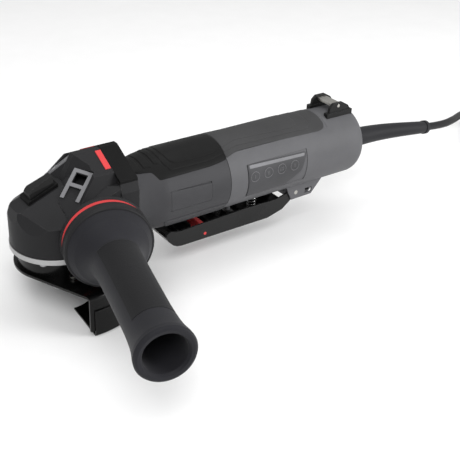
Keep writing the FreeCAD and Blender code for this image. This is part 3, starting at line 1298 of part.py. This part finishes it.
def rounded_path(points):
    """Straight runs joined by tangent arcs as large as their two runs allow."""
    edges = []
    at = points[0]
    radii = []
    for before, corner, after in zip(points, points[1:], points[2:]):
        back = before - corner
        ahead = after - corner
        reach = 0.45 * min(back.Length, ahead.Length)
        half_turn = (math.pi - back.getAngle(ahead)) / 2
        radius = reach / math.tan(half_turn)
        start = corner + back.normalize() * reach
        end = corner + ahead.normalize() * reach
        inward = (back + ahead).normalize()
        middle = corner + inward * (radius / math.cos(half_turn) - radius)
        edges.append(Part.makeLine(at, start))
        edges.append(Part.Arc(start, middle, end).toShape())
        at = end
        radii.append(round(radius))
    edges.append(Part.makeLine(at, points[-1]))
    print("cord radii", radii)
    return Part.Wire(edges)


def cord_tube(points):
    path = rounded_path(points)
    section = Part.Wire(Part.makeCircle(CORD_D / 2, points[0], points[1] - points[0]))
    tube = path.makePipeShell([section], True, True)
    expected = math.pi * (CORD_D / 2) ** 2 * path.Length
    print("cord length %.1f  volume / expected %.4f" % (path.Length, tube.Volume / expected))
    return tube


def power_cord():
    """The cord's two free stretches: from the bush to the coil, and from the coil to the plug."""
    lead = cord_tube(CORD_ROUTE + [on_coil(COIL_IN_DEG, 0)])
    tail = cord_tube([on_coil(COIL_OUT_DEG, COIL_LAYERS - 1)] + CORD_TAIL)
    return Part.Compound([lead, tail])


def coil_section():
    """Inner radius, outer radius and height of the coil's outer form."""
    radii = coil_radii()
    return min(radii) - CORD_D / 2, max(radii) + CORD_D / 2, CORD_D * COIL_LAYERS


def cord_coil():
    """Outer form of the coiled length of the cord."""
    inner, outer, height = coil_section()
    soft = 2.5
    points = [(0, inner + soft), (0, outer - soft), (soft, outer), (height - soft, outer), (height, outer - soft),
              (height, inner + soft), (height - soft, inner), (soft, inner)]
    return lathe(points, COIL_CENTRE, Z_DIR, X_DIR)


def cord_tie():
    """Strap round the coil."""
    inner, outer, height = coil_section()
    strap = block(inner - 1.2, outer + 1.2, -6, 6, 0, height + 1.2)
    strap = strap.cut(block(inner, outer, -7, 7, 0.6, height))
    strap.rotate(V(0, 0, 0), Z_DIR, -70)
    strap.translate(COIL_CENTRE)
    return strap


def plug_body():
    """Two-pin mains plug lying on its broad side, its pins pointing along -Y."""
    entry = CORD_TAIL[-1]
    rings = []
    for back, half_w, half_h in ((0.0, 5.5, 5.5), (9.0, 6.5, 6.2), (16.0, 13.0, 9.0), (26.0, 16.5, PLUG_HALF_H - 0.7),
                                 (PLUG_LENGTH, PLUG_HALF_W, PLUG_HALF_H)):
        ring = Part.Ellipse(entry + V(0, -back, 0), half_w, half_h) if half_w > half_h + 0.01 else \
            Part.Circle(entry + V(0, -back, 0), Z_DIR, half_w)
        edge = ring.toShape()
        edge.rotate(entry + V(0, -back, 0), X_DIR, 90)
        rings.append(Part.Wire(edge))
    return Part.makeLoft(rings, True, False)


def plug_pins():
    """The plug's two round pins."""
    entry = CORD_TAIL[-1]
    pins = []
    for side in (-1, 1):
        x = entry.x + side * PLUG_PIN_SPACING / 2
        face = entry.y - PLUG_LENGTH
        pins.append(rod(V(x, face, entry.z), V(0, -1, 0), PLUG_PIN_R, PLUG_PIN_LENGTH))
    return Part.Compound(pins)


# ---- parts list -----------------------------------------------------------------------------------
PARTS = [
    gear_case,
    vent_hood,
    vent_frames,
    hood_accent_strip,
    neck_band,
    bearing_plate,
    case_screws,
    spindle_bearing,
    spindle_bush,
    dust_seal,
    spindle,
    inner_flange,
    bevel_gear,
    pinion,
    armature_shaft,
    armature_core,
    armature_windings,
    commutator,
    fan,
    fan_baffle,
    stator,
    field_coils,
    motor_bearings,
    bearing_bridge,
    brush_gear,
    motor_housing,
    front_top_pad,
    rear_housing_left,
    rear_housing_right,
    rear_top_pad,
    side_panels,
    housing_screws,
    lock_guide,
    lock_button,
    lock_pin,
    lock_spring,
    guard_shell,
    guard_bottom_cover,
    guard_collar,
    guard_lever,
    handle_stud,
    handle_disc,
    handle_ring,
    handle_grip,
    handle_inlay,
    paddle,
    paddle_pin,
    paddle_spring,
    lock_off_lever,
    switch_body,
    switch_plunger,
    control_module,
    tether_bracket,
    tether_bar,
    cord_bush,
    power_cord,
    cord_coil,
    cord_tie,
    plug_body,
    plug_pins,
]


def main():
    os.makedirs("parts", exist_ok=True)
    for make in PARTS:
        name = make.__name__
        shape = make()
        print("%-20s solids %2d  volume %9.0f  valid %s" % (name, len(shape.Solids), shape.Volume, shape.isValid()))
        shape.exportStep("parts/%s.step" % name)


main()
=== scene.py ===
import json
import math

import bmesh
import bpy
from mathutils import Matrix, Vector


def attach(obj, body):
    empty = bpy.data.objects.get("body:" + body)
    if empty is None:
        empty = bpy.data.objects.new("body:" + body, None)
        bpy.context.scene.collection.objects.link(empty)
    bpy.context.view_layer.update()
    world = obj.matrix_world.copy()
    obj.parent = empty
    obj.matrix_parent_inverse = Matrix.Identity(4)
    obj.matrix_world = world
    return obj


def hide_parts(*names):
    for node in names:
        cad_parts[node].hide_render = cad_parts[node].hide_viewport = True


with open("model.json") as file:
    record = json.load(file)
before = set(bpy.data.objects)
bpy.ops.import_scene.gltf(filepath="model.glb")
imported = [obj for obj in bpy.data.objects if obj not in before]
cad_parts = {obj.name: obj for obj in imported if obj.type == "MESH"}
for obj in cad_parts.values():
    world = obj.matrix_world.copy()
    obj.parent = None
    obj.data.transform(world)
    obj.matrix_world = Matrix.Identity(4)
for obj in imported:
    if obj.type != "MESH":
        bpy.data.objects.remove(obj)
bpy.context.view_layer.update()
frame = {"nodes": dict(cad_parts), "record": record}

MM = 0.001
NODES = frame["nodes"]

# sizes in millimetres, in the row frame: the spindle's axis is Z and the motor's axis is +X at MOTOR_Z
REST_Z = -25.0
MOTOR_Z = 50.0
BARREL_R = 34.0
SEAM_X = 150.0
HANDLE_X = 29.0
HANDLE_LEAN = math.radians(14.5)
WAIST = [(56.0, 31.5), (64.0, 30.0), (76.0, 31.9), (88.0, 34.0)]     # (x, radius) of the neck
CORD_D = 8.0
CORD_ROUTE = [(417, -12, 40), (446, -9.5, 35), (482, 4, 28.5), (522, 25, 20), (560, 46, 3), (592, 61, -13),
              (618, 68, -21)]
COIL_CENTRE = (648.0, 14.0)
COIL_RADII = [57.0, 49.0, 41.0, 33.0]
COIL_FIRST_DEG = 100.0
COIL_LAST_DEG = 10.0
COIL_POINTS = 24                # spline points for each turn of the coil
COIL_SHIFT = 0.16               # part of a turn in which the cord moves over to the next turn
CORD_TAIL = [(708.5, -4, -12.6), (709, -34, -12), (709, -56, -12)]
TIE_DEG = -70.0


# ---- camera, light and floor ------------------------------------------------------------------------
def add_camera(azimuth, elevation, roll, distance, target, lens):
    """A camera on the sphere round target; azimuth 0 looks along +Y."""
    a, e, r = (math.radians(v) for v in (azimuth, elevation, roll))
    back = Vector((math.sin(a) * math.cos(e), -math.cos(a) * math.cos(e), math.sin(e)))
    right = Vector((math.cos(a), math.sin(a), 0.0))
    up = back.cross(right)
    level = (right * math.cos(r) + up * math.sin(r), up * math.cos(r) - right * math.sin(r), back)
    camera = bpy.data.objects.new("camera", bpy.data.cameras.new("camera"))
    camera.data.lens = lens
    camera.data.sensor_width = 36.0
    camera.data.clip_start = 0.01
    place = Vector(target) * MM + back * distance * MM
    camera.matrix_world = Matrix.Translation(place) @ Matrix(level).transposed().to_4x4()
    bpy.context.scene.collection.objects.link(camera)
    bpy.context.scene.camera = camera


def add_light(name, place, target, size, power):
    lamp = bpy.data.lights.new(name, "AREA")
    lamp.shape = "RECTANGLE"
    lamp.size, lamp.size_y = size
    lamp.energy = power
    obj = bpy.data.objects.new(name, lamp)
    obj.location = place
    obj.rotation_euler = (Vector(target) - Vector(place)).to_track_quat("-Z", "Y").to_euler()
    bpy.context.scene.collection.objects.link(obj)


# ---- materials ----------------------------------------------------------------------------------------
def shader_node(tree, kind, values=None, **settings):
    made = tree.nodes.new("ShaderNode" + kind)
    for key, value in settings.items():
        setattr(made, key, value)
    for key, value in (values or {}).items():
        made.inputs[key].default_value = value
    return made


def ranged(tree, source, low, high, to_low, to_high):
    made = shader_node(tree, "MapRange", {"From Min": low, "From Max": high, "To Min": to_low,
                                          "To Max": to_high})
    tree.links.new(source, made.inputs["Value"])
    return made.outputs["Result"]


def mixed(tree, factor, first, second):
    """A colour between two; each is an output socket or a plain colour."""
    made = shader_node(tree, "Mix", data_type="RGBA")
    for socket, value in ((made.inputs[0], factor), (made.inputs[6], first), (made.inputs[7], second)):
        if isinstance(value, bpy.types.NodeSocket):
            tree.links.new(value, socket)
        else:
            socket.default_value = (*value, 1.0)
    return made.outputs[2]


def noise(tree, vector, scale, detail=3.0, roughness=0.55):
    made = shader_node(tree, "TexNoise", {"Scale": scale, "Detail": detail, "Roughness": roughness})
    tree.links.new(vector, made.inputs["Vector"])
    return made.outputs["Fac"]


def fine_grain(tree, vector, grain, pattern):
    """The height of the fine relief: noise, leather cells or bands."""
    if pattern == "noise":
        return noise(tree, vector, grain)
    if pattern == "leather":
        cells = shader_node(tree, "TexVoronoi", {"Scale": grain})
        tree.links.new(vector, cells.inputs["Vector"])
        return cells.outputs["Distance"]
    bands = shader_node(tree, "TexWave", {"Scale": grain, "Distortion": 1.5, "Detail": 2.0})
    tree.links.new(vector, bands.inputs["Vector"])
    return bands.outputs["Fac"]


def wear_mask(tree, rounded, specks, worn):
    """Where the finish is worn: at edges, in patches."""
    true = shader_node(tree, "NewGeometry")
    dot = shader_node(tree, "VectorMath", operation="DOT_PRODUCT")
    tree.links.new(rounded, dot.inputs[0])
    tree.links.new(true.outputs["Normal"], dot.inputs[1])
    at_edge = ranged(tree, dot.outputs["Value"], 0.80, 0.995, worn, 0.0)
    patchy = ranged(tree, specks, 0.38, 0.62, 0.0, 1.0)
    amount = shader_node(tree, "Math", operation="MULTIPLY")
    tree.links.new(at_edge, amount.inputs[0])
    tree.links.new(patchy, amount.inputs[1])
    return amount.outputs["Value"]


def surface(name, colour, roughness, metallic=0.0, grain=1600.0, relief=0.02, stretch=(1, 1, 1), uneven=0.12,
            wear=None, worn=0.5, edge=0.5, coat=0.0, sheen=0.0, spread=0.08, pattern="noise", shine=0.13):
    """A procedural finish: fine grain as bump, uneven tone and gloss, and lighter worn edges.

    relief and edge are in millimetres, and grain is how many features there are along a metre."""
    made = bpy.data.materials.new(name)
    made.use_nodes = True
    made.diffuse_color = (*colour, 1.0)
    tree = made.node_tree
    shader = tree.nodes["Principled BSDF"]
    place = shader_node(tree, "TexCoord").outputs["Object"]
    scaled = shader_node(tree, "Mapping", {"Scale": stretch})
    tree.links.new(place, scaled.inputs["Vector"])
    fine = fine_grain(tree, scaled.outputs["Vector"], grain, pattern)
    broad = noise(tree, place, 26.0, 4.0, 0.6)
    specks = noise(tree, place, 420.0, 5.0, 0.7)
    rounded = shader_node(tree, "Bevel", {"Radius": edge * MM}, samples=4)
    bump = shader_node(tree, "Bump", {"Strength": 0.8, "Distance": relief * MM})
    tree.links.new(fine, bump.inputs["Height"])
    tree.links.new(rounded.outputs["Normal"], bump.inputs["Normal"])
    tree.links.new(bump.outputs["Normal"], shader.inputs["Normal"])
    dark = tuple(c * (1 - uneven) for c in colour)
    light = tuple(c * (1 + uneven) for c in colour)
    tone = mixed(tree, ranged(tree, broad, 0.3, 0.7, 0.0, 1.0), dark, light)
    if wear is not None:
        tone = mixed(tree, wear_mask(tree, rounded.outputs["Normal"], specks, worn), tone, wear)
    tree.links.new(tone, shader.inputs["Base Color"])
    gloss = ranged(tree, broad, 0.3, 0.7, roughness - spread, roughness + spread)
    tree.links.new(gloss, shader.inputs["Roughness"])
    shader.inputs["Metallic"].default_value = metallic
    shader.inputs["Specular IOR Level"].default_value = shine
    shader.inputs["Coat Weight"].default_value = coat
    shader.inputs["Coat Roughness"].default_value = 0.12
    shader.inputs["Sheen Weight"].default_value = sheen
    return made


def grey(value, blue=0.0):
    return (value, value, value + blue)


STEEL_WEAR = grey(0.5)
FINISHES = {
    "case_paint": dict(colour=grey(0.016, 0.001), roughness=0.50, grain=1100, relief=0.05, wear=grey(0.16),
                       worn=0.7),
    "hood_plastic": dict(colour=grey(0.014, 0.001), roughness=0.52, grain=1900, relief=0.03, wear=grey(0.11)),
    "trim_grey": dict(colour=grey(0.17, 0.008), roughness=0.45, grain=1900, relief=0.02, wear=grey(0.35)),
    "accent_red": dict(colour=(0.52, 0.045, 0.048), roughness=0.42, grain=1500, relief=0.02, wear=(0.8, 0.2,
                       0.18)),
    "band_black": dict(colour=grey(0.0025), roughness=0.60, grain=1900, relief=0.03, wear=grey(0.05)),
    "cast_aluminium": dict(colour=grey(0.42), roughness=0.42, metallic=0.85, grain=700, relief=0.06,
                           wear=grey(0.7)),
    "screw_steel": dict(colour=grey(0.35, 0.01), roughness=0.32, metallic=1.0, grain=900, relief=0.01,
                        wear=grey(0.7)),
    "bearing_steel": dict(colour=grey(0.5, 0.01), roughness=0.18, metallic=1.0, grain=2500, relief=0.004,
                          stretch=(1, 1, 0.1)),
    "felt": dict(colour=(0.15, 0.14, 0.12), roughness=0.95, grain=1400, relief=0.2, sheen=0.4),
    "spindle_steel": dict(colour=grey(0.45, 0.01), roughness=0.28, metallic=1.0, grain=2600, relief=0.01,
                          stretch=(1, 1, 6), wear=grey(0.75)),
    "gear_steel": dict(colour=grey(0.27, 0.01), roughness=0.36, metallic=1.0, grain=1800, relief=0.01,
                       wear=STEEL_WEAR),
    "core_iron": dict(colour=grey(0.16), roughness=0.5, metallic=0.9, grain=260, relief=0.1, pattern="bands"),
    "copper": dict(colour=(0.55, 0.2, 0.07), roughness=0.35, metallic=0.9, grain=420, relief=0.15,
                   pattern="bands"),
    "fan_plastic": dict(colour=grey(0.04), roughness=0.5, grain=1500, relief=0.02, wear=grey(0.12)),
    "brass": dict(colour=(0.6, 0.42, 0.16), roughness=0.32, metallic=1.0, grain=1500, relief=0.01,
                  wear=(0.8, 0.65, 0.3)),
    "housing_charcoal": dict(colour=grey(0.044, 0.003), roughness=0.50, grain=1700, relief=0.035,
                             wear=grey(0.13)),
    "pad_black": dict(colour=grey(0.005), roughness=0.55, grain=1500, relief=0.05, pattern="leather",
                      wear=grey(0.06)),
    "housing_grey": dict(colour=grey(0.094, 0.005), roughness=0.50, grain=1700, relief=0.035,
                         wear=grey(0.24)),
    "pad_grey": dict(colour=grey(0.042, 0.001), roughness=0.58, grain=1500, relief=0.05, pattern="leather",
                     wear=grey(0.13)),
    "panel_grey": dict(colour=grey(0.052, 0.003), roughness=0.40, grain=2200, relief=0.012, wear=grey(0.2)),
    "button_black": dict(colour=grey(0.012), roughness=0.40, grain=1800, relief=0.02, wear=grey(0.09)),
    "spring_steel": dict(colour=grey(0.35), roughness=0.3, metallic=1.0, grain=1600, relief=0.01),
    "guard_black": dict(colour=grey(0.0018), roughness=0.27, metallic=0.0, grain=520, relief=0.035, coat=0.2,
                        wear=grey(0.2), worn=0.35, spread=0.05),
    "lever_steel": dict(colour=(0.42, 0.41, 0.38), roughness=0.30, metallic=1.0, grain=1800, relief=0.015,
                        stretch=(0.3, 3, 1), wear=grey(0.75)),
    "disc_black": dict(colour=grey(0.014, 0.001), roughness=0.48, grain=1700, relief=0.03, wear=grey(0.07)),
    "grip_rubber": dict(colour=grey(0.014, 0.003), roughness=0.62, grain=1300, relief=0.06, pattern="leather",
                        sheen=0.05),
    "inlay_rubber": dict(colour=grey(0.009, 0.001), roughness=0.68, grain=900, relief=0.12, pattern="leather",
                         sheen=0.05),
    "paddle_black": dict(colour=grey(0.009), roughness=0.30, grain=1500, relief=0.015, coat=0.2,
                         wear=grey(0.14)),
    "bracket_black": dict(colour=grey(0.011), roughness=0.40, grain=1600, relief=0.02, wear=grey(0.1)),
    "bush_rubber": dict(colour=grey(0.016, 0.002), roughness=0.55, grain=1300, relief=0.04, sheen=0.05),
    "cord_rubber": dict(colour=grey(0.009, 0.001), roughness=0.5, grain=900, relief=0.05, sheen=0.05),
    "tie_fabric": dict(colour=grey(0.03), roughness=0.9, grain=700, relief=0.3, pattern="bands", sheen=0.4),
    "plug_rubber": dict(colour=grey(0.016, 0.001), roughness=0.55, grain=1400, relief=0.04, sheen=0.05),
    "pin_chrome": dict(colour=grey(0.6), roughness=0.15, metallic=1.0, grain=2400, relief=0.005, stretch=(1,
                       0.1, 1)),
}
MATERIALS = {name: surface(name, **finish) for name, finish in FINISHES.items()}


def dress(obj, slot, body="body", *replaced):
    """Gives a new piece its finish, its body and the CAD nodes that it stands for."""
    obj.data.materials.append(MATERIALS[slot])
    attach(obj, body)
    if replaced:
        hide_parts(*replaced)
    return obj


# ---- making pieces --------------------------------------------------------------------------------------
def mesh_piece(name, points, faces, smooth=True):
    mesh = bpy.data.meshes.new(name)
    mesh.from_pydata([Vector(p) * MM for p in points], [], faces)
    mesh.validate()
    work = bmesh.new()
    work.from_mesh(mesh)
    bmesh.ops.remove_doubles(work, verts=work.verts, dist=1e-6)
    bmesh.ops.recalc_face_normals(work, faces=work.faces)
    work.to_mesh(mesh)
    work.free()
    for face in mesh.polygons:
        face.use_smooth = smooth
    obj = bpy.data.objects.new(name, mesh)
    bpy.context.scene.collection.objects.link(obj)
    return obj


def spline_piece(name, lines, radius, closed=False):
    """Round beads or wires along lines of points."""
    curve = bpy.data.curves.new(name, "CURVE")
    curve.dimensions = "3D"
    curve.bevel_depth = radius * MM
    curve.bevel_resolution = 3
    curve.use_fill_caps = True
    for line in lines:
        spline = curve.splines.new("POLY")
        spline.points.add(len(line) - 1)
        for point, place in zip(spline.points, line):
            point.co = (*(v * MM for v in place), 1.0)
        spline.use_cyclic_u = closed
    obj = bpy.data.objects.new(name, curve)
    bpy.context.scene.collection.objects.link(obj)
    return obj


def barrel_radius(x):
    """Radius of the motor housing and the rear housing at x."""
    for (x0, r0), (x1, r1) in zip(WAIST, WAIST[1:]):
        if x < x1:
            return r0 + (r1 - r0) * (max(x, x0) - x0) / (x1 - x0)
    return BARREL_R - 0.3 * max(0.0, x - SEAM_X) / 160


def on_barrel(x, degrees, rise=0.0):
    """A point on the barrel; 0 degrees faces -Y and 90 faces up."""
    radius = barrel_radius(x) + rise
    angle = math.radians(degrees)
    return (x, -radius * math.cos(angle), MOTOR_Z + radius * math.sin(angle))


def rounded_outline(corners, radius, steps=5):
    """The closed outline of (x, arc length) with its corners rounded, and points along its sides."""
    points = []
    count = len(corners)
    for n in range(count):
        before, here, after = (Vector(corners[(n + k) % count]) for k in (-1, 0, 1))
        reach = min(radius, (here - before).length * 0.45, (after - here).length * 0.45)
        start = here + (before - here).normalized() * reach
        end = here + (after - here).normalized() * reach
        for k in range(steps + 1):
            t = k / steps
            points.append(start * (1 - t) ** 2 + here * 2 * t * (1 - t) + end * t ** 2)
    filled = []
    for a, b in zip(points, points[1:] + points[:1]):
        parts = max(1, int((b - a).length / 3.0))
        filled += [a + (b - a) * k / parts for k in range(parts)]
    return filled


def wrapped_plate(name, corners, rise, radius=2.0, foot=-0.5, bevel=0.35, rings=14):
    """A thin plate with soft edges that follows the barrel; corners are (x, degrees)."""
    per_degree = math.radians(1.0) * BARREL_R
    outline = rounded_outline([(x, d * per_degree) for x, d in corners], radius)
    centre = sum(outline, Vector((0.0, 0.0))) / len(outline)
    reach = min((p - centre).length for p in outline)
    soft = bevel / reach
    levels = [(1.0, foot), (1.0, rise - bevel), (1.0 - soft * 0.3, rise - bevel * 0.3), (1.0 - soft, rise)]
    levels += [((1.0 - soft) * (1 - k / rings), rise) for k in range(1, rings)]
    points, faces = [], []
    count = len(outline)
    for share, height in levels:
        for p in outline:
            q = centre + (p - centre) * share
            points.append(on_barrel(q.x, q.y / per_degree, height))
    points.append(on_barrel(centre.x, centre.y / per_degree, rise))
    for level in range(len(levels) - 1):
        for n in range(count):
            m = (n + 1) % count
            a = level * count
            faces.append((a + n, a + m, a + count + m, a + count + n))
    last = (len(levels) - 1) * count
    faces += [(last + n, last + (n + 1) % count, len(points) - 1) for n in range(count)]
    faces.append(tuple(reversed(range(count))))
    return mesh_piece(name, points, faces)


def over_top(half):
    """A closed outline from its half below 90 degrees, mirrored over the top of the barrel."""
    return half + [(x, 180.0 - d) for x, d in reversed(half)]


def other_side(corners):
    return [(x, 180.0 - d) for x, d in corners]


# ---- cord ------------------------------------------------------------------------------------------------
def coil_point(turned):
    """A spline point after so many degrees of winding, clockwise from above."""
    turn = turned / 360.0
    whole = int(turn)
    part = max(0.0, (turn - whole - (1.0 - COIL_SHIFT)) / COIL_SHIFT)
    ease = part * part * (3 - 2 * part)
    radii = COIL_RADII + COIL_RADII[::-1]
    rows = len(COIL_RADII)
    radius = radii[min(whole, 7)] + (radii[min(whole + 1, 7)] - radii[min(whole, 7)]) * ease
    layer = 0.0 if whole < rows - 1 else 1.0 if whole >= rows else ease
    angle = math.radians(COIL_FIRST_DEG - turned)
    height = REST_Z + CORD_D * (layer + 0.5)
    return (COIL_CENTRE[0] + radius * math.cos(angle), COIL_CENTRE[1] + radius * math.sin(angle), height)


def add_cord():
    turns = 2 * len(COIL_RADII) + (COIL_FIRST_DEG - COIL_LAST_DEG) / 360.0
    steps = round(turns * COIL_POINTS)
    coil = [coil_point(360.0 * turns * n / steps) for n in range(steps + 1)]
    route = CORD_ROUTE + coil + CORD_TAIL
    curve = bpy.data.curves.new("power_lead", "CURVE")
    curve.dimensions = "3D"
    curve.bevel_depth = CORD_D / 2 * MM
    curve.bevel_resolution = 5
    curve.use_fill_caps = True
    spline = curve.splines.new("NURBS")
    spline.points.add(len(route) - 1)
    for point, place in zip(spline.points, route):
        point.co = (*(v * MM for v in place), 1.0)
    spline.order_u = 3
    spline.use_endpoint_u = True
    spline.resolution_u = 6
    lead = bpy.data.objects.new("power_lead", curve)
    bpy.context.scene.collection.objects.link(lead)
    return dress(lead, "cord_rubber", "body", "power_cord", "cord_coil")


def add_tie():
    """Strap round the coil, with a rounded section."""
    inner, outer = min(COIL_RADII) - CORD_D / 2 - 0.4, max(COIL_RADII) + CORD_D / 2 + 0.4
    low, high = REST_Z + 0.25, REST_Z + 2 * CORD_D + 0.5
    loop = rounded_outline([(inner, low), (outer, low), (outer, high), (inner, high)], 3.5)
    centre = sum(loop, Vector((0.0, 0.0))) / len(loop)
    angle = math.radians(TIE_DEG)
    along = Vector((math.cos(angle), math.sin(angle), 0.0))
    across = Vector((-math.sin(angle), math.cos(angle), 0.0))
    points, faces = [], []
    section = [(-4.5, 0.0), (-4.2, 0.7), (4.2, 0.7), (4.5, 0.0), (4.2, -0.2), (-4.2, -0.2)]
    for p in loop:
        outward = (p - centre).normalized()
        for side, lift in section:
            q = p + outward * lift
            points.append(Vector((*COIL_CENTRE, 0.0)) + along * q.x + across * side + Vector((0.0, 0.0, q.y)))
    count, around = len(section), len(loop)
    for n in range(around):
        for k in range(count):
            m, j = (n + 1) % around, (k + 1) % count
            faces.append((n * count + k, m * count + k, m * count + j, n * count + j))
    return dress(mesh_piece("coil_strap", points, faces), "tie_fabric", "body", "cord_tie")


# ---- pads, panels and lines on the housings ----------------------------------------------------------------
FRONT_PADS = [
    ([(149.8, 42.5), (141.0, 40.3), (132.0, 38.9), (106.0, 38.5), (82.0, 38.2), (78.0, 54.0), (66.0, 60.0),
      (60.0, 64.0)], 0.45),
    ([(149.8, 52.8), (141.0, 49.6), (132.0, 47.0), (113.0, 47.2), (94.0, 47.9), (90.5, 60.0), (89.5, 76.0)],
     0.85),
    ([(149.8, 61.0), (140.0, 57.6), (131.0, 55.8), (116.0, 56.0), (100.0, 56.9), (96.5, 63.0),
      (94.3, 84.0)], 1.25),
]
NECK_RIBS = [(64.0, 70.5), (73.5, 80.0), (83.0, 87.0)]
REAR_PADS = [
    ([(150.2, 44.0), (157.0, 47.8), (163.6, 50.8), (205.0, 50.3), (257.0, 47.8), (263.0, 50.0), (266.0, 58.0),
      (266.3, 74.0)], 0.45),
    ([(150.2, 53.2), (157.0, 56.5), (165.0, 59.0), (205.0, 58.0), (246.0, 56.6), (250.0, 61.0),
      (250.7, 74.0)], 0.85),
    ([(150.2, 61.5), (159.0, 66.5), (168.0, 69.5), (200.0, 66.5), (229.0, 64.3), (235.5, 66.5),
      (238.0, 77.0)], 1.25),
]
BADGE = [(88.5, 18.6), (130.0, 15.6), (130.0, -12.0), (88.5, -12.0)]
INFO = [(168.5, 26.5), (236.0, 22.5), (230.5, -7.0), (213.0, -29.0), (170.0, -29.0)]
INFO_STRIPE = [(170.5, 24.8), (233.8, 21.0), (232.8, 16.5), (170.5, 19.5)]
KEEL = [(84.0, -31.0), (149.8, -30.5), (149.8, -72.0), (104.0, -72.0), (90.0, -52.0)]
SIGN_R = 4.6
SIGN_MARK_HALF = 1.8
SIGN_MARK_GAP = 1.6
SIGN_PLACES = [(176.0, 5.6), (191.0, 6.0), (206.0, 6.0), (221.0, 5.6)]


def add_pads():
    for n, (half, rise) in enumerate(FRONT_PADS):
        pad = wrapped_plate("front_pad_%d" % n, over_top(half), rise)
        dress(pad, "pad_black", "body", *(["front_top_pad"] if n == 0 else []))
    for n, (x0, x1) in enumerate(NECK_RIBS):
        rib = over_top([(x1, 60.0 + n), (x0, 63.0 + n)])
        dress(wrapped_plate("neck_rib_%d" % n, rib, 0.95, radius=1.2), "pad_black")
    for n, (half, rise) in enumerate(REAR_PADS):
        pad = wrapped_plate("rear_pad_%d" % n, over_top(half), rise)
        dress(pad, "pad_grey", "body", *(["rear_top_pad"] if n == 0 else []))


def sign_lines(x, degrees, kind):
    """A small made-up sign: a ring with one, two or three plain marks in it."""
    per_degree = math.radians(1.0) * BARREL_R
    angles = [math.radians(a) for a in range(0, 361, 15)]
    lines = [[(SIGN_R * math.cos(a), SIGN_R * math.sin(a)) for a in angles]]
    for k in range(kind + 1):
        place = SIGN_MARK_GAP * (k - kind / 2)
        lines.append([(place, -SIGN_MARK_HALF), (place, SIGN_MARK_HALF)])
    return [[on_barrel(x + u, degrees + v / per_degree, 0.24) for u, v in line] for line in lines]


def add_panels():
    for side, turn in (("left", list), ("right", other_side)):
        badge = wrapped_plate("badge_panel_" + side, turn(BADGE), 0.12, radius=1.2, foot=-0.9, bevel=0.3)
        dress(badge, "housing_charcoal", "body", *(["side_panels"] if side == "left" else []))
        info = wrapped_plate("info_panel_" + side, turn(INFO), 0.12, radius=2.5, foot=-0.9, bevel=0.3)
        dress(info, "panel_grey")
        stripe = wrapped_plate("info_stripe_" + side, turn(INFO_STRIPE), 0.2, radius=1.0, foot=-0.2,
                               bevel=0.1)
        dress(stripe, "trim_grey")
        keel = wrapped_plate("keel_" + side, turn(KEEL), 0.7, radius=3.0)
        dress(keel, "housing_charcoal")
        for n, (x, degrees) in enumerate(turn(SIGN_PLACES)):
            sign = spline_piece("info_sign_%s_%d" % (side, n), sign_lines(x, degrees, n % 3), 0.2)
            dress(sign, "trim_grey")


def arc_line(x, start, end, rise, step=4.0):
    count = max(2, int(abs(end - start) / step))
    return [on_barrel(x, start + (end - start) * k / count, rise) for k in range(count + 1)]


def add_seams():
    """Shadow lines where the housings meet."""
    seam = spline_piece("housing_seam", [arc_line(SEAM_X, -180.0, 180.0, -0.12)[:-1]], 0.28, closed=True)
    dress(seam, "band_black")


def lathe_piece(name, profile, origin, axis, count=96):
    """A closed ring; the profile is (distance along the axis, radius)."""
    axis = Vector(axis).normalized()
    across = Vector((0.0, 0.0, 1.0))
    third = axis.cross(across)
    points, faces = [], []
    for n in range(count):
        angle = 2 * math.pi * n / count
        outward = across * math.cos(angle) + third * math.sin(angle)
        points += [Vector(origin) + axis * along + outward * radius for along, radius in profile]
    sides = len(profile)
    for n in range(count):
        m = (n + 1) % count
        for k in range(sides):
            j = (k + 1) % sides
            faces.append((n * sides + k, m * sides + k, m * sides + j, n * sides + j))
    return mesh_piece(name, points, faces)


def add_handle_rim():
    """Raised rim of the side handle, with a step down to its dome."""
    axis = (-math.sin(HANDLE_LEAN), -math.cos(HANDLE_LEAN), 0.0)
    profile = [(60.62, 32.0), (60.62, 34.0), (60.9, 34.7), (61.6, 35.1), (69.6, 35.1), (70.4, 34.7), (70.8,
                                                                                                      34.0),
               (70.9, 33.2), (70.7, 32.0)]
    rim = lathe_piece("handle_rim", profile, (HANDLE_X, 0.0, MOTOR_Z), axis)
    dress(rim, "disc_black")


# ---- everything ------------------------------------------------------------------------------------------
def dress_cad():
    """Every CAD node keeps its shape and gets the finish of its slot."""
    for part in frame["record"]["subparts"]:
        node = NODES[part["node"]]
        if not node.data.materials:
            node.data.materials.append(None)
        for place in node.material_slots:
            place.material = MATERIALS[part["material_slot"]]


def add_floor():
    floor = mesh_piece("floor", [(-3000, -3000, REST_Z), (5000, -3000, REST_Z), (5000, 6000, REST_Z),
                                 (-3000, 6000, REST_Z)], [(0, 1, 2, 3)], smooth=False)
    floor.data.materials.append(surface("floor", grey(0.86), 0.85, grain=60, relief=0.05, uneven=0.01))


def add_studio():
    world = bpy.data.worlds.new("studio")
    world.use_nodes = True
    world.node_tree.nodes["Background"].inputs["Color"].default_value = (1.0, 1.0, 1.0, 1.0)
    world.node_tree.nodes["Background"].inputs["Strength"].default_value = 0.55
    bpy.context.scene.world = world
    bpy.context.scene.view_settings.view_transform = "Standard"
    middle = (0.15, 0.0, 0.03)
    add_light("key", (-0.55, -0.9, 1.25), middle, (0.9, 0.9), 15.0)
    add_light("top", (0.35, 0.35, 1.3), middle, (1.6, 0.6), 7.0)
    add_light("side", (1.1, -1.1, 0.55), middle, (0.7, 1.0), 16.0)


add_camera(-37.37, 29.81, 2.79, 843.46, (176.56, 0.0, -17.44), 891.8 / 460 * 36.0)
cord = add_cord()
strap = add_tie()
dress_cad()
add_pads()
add_panels()
add_seams()
add_handle_rim()
add_floor()
add_studio()
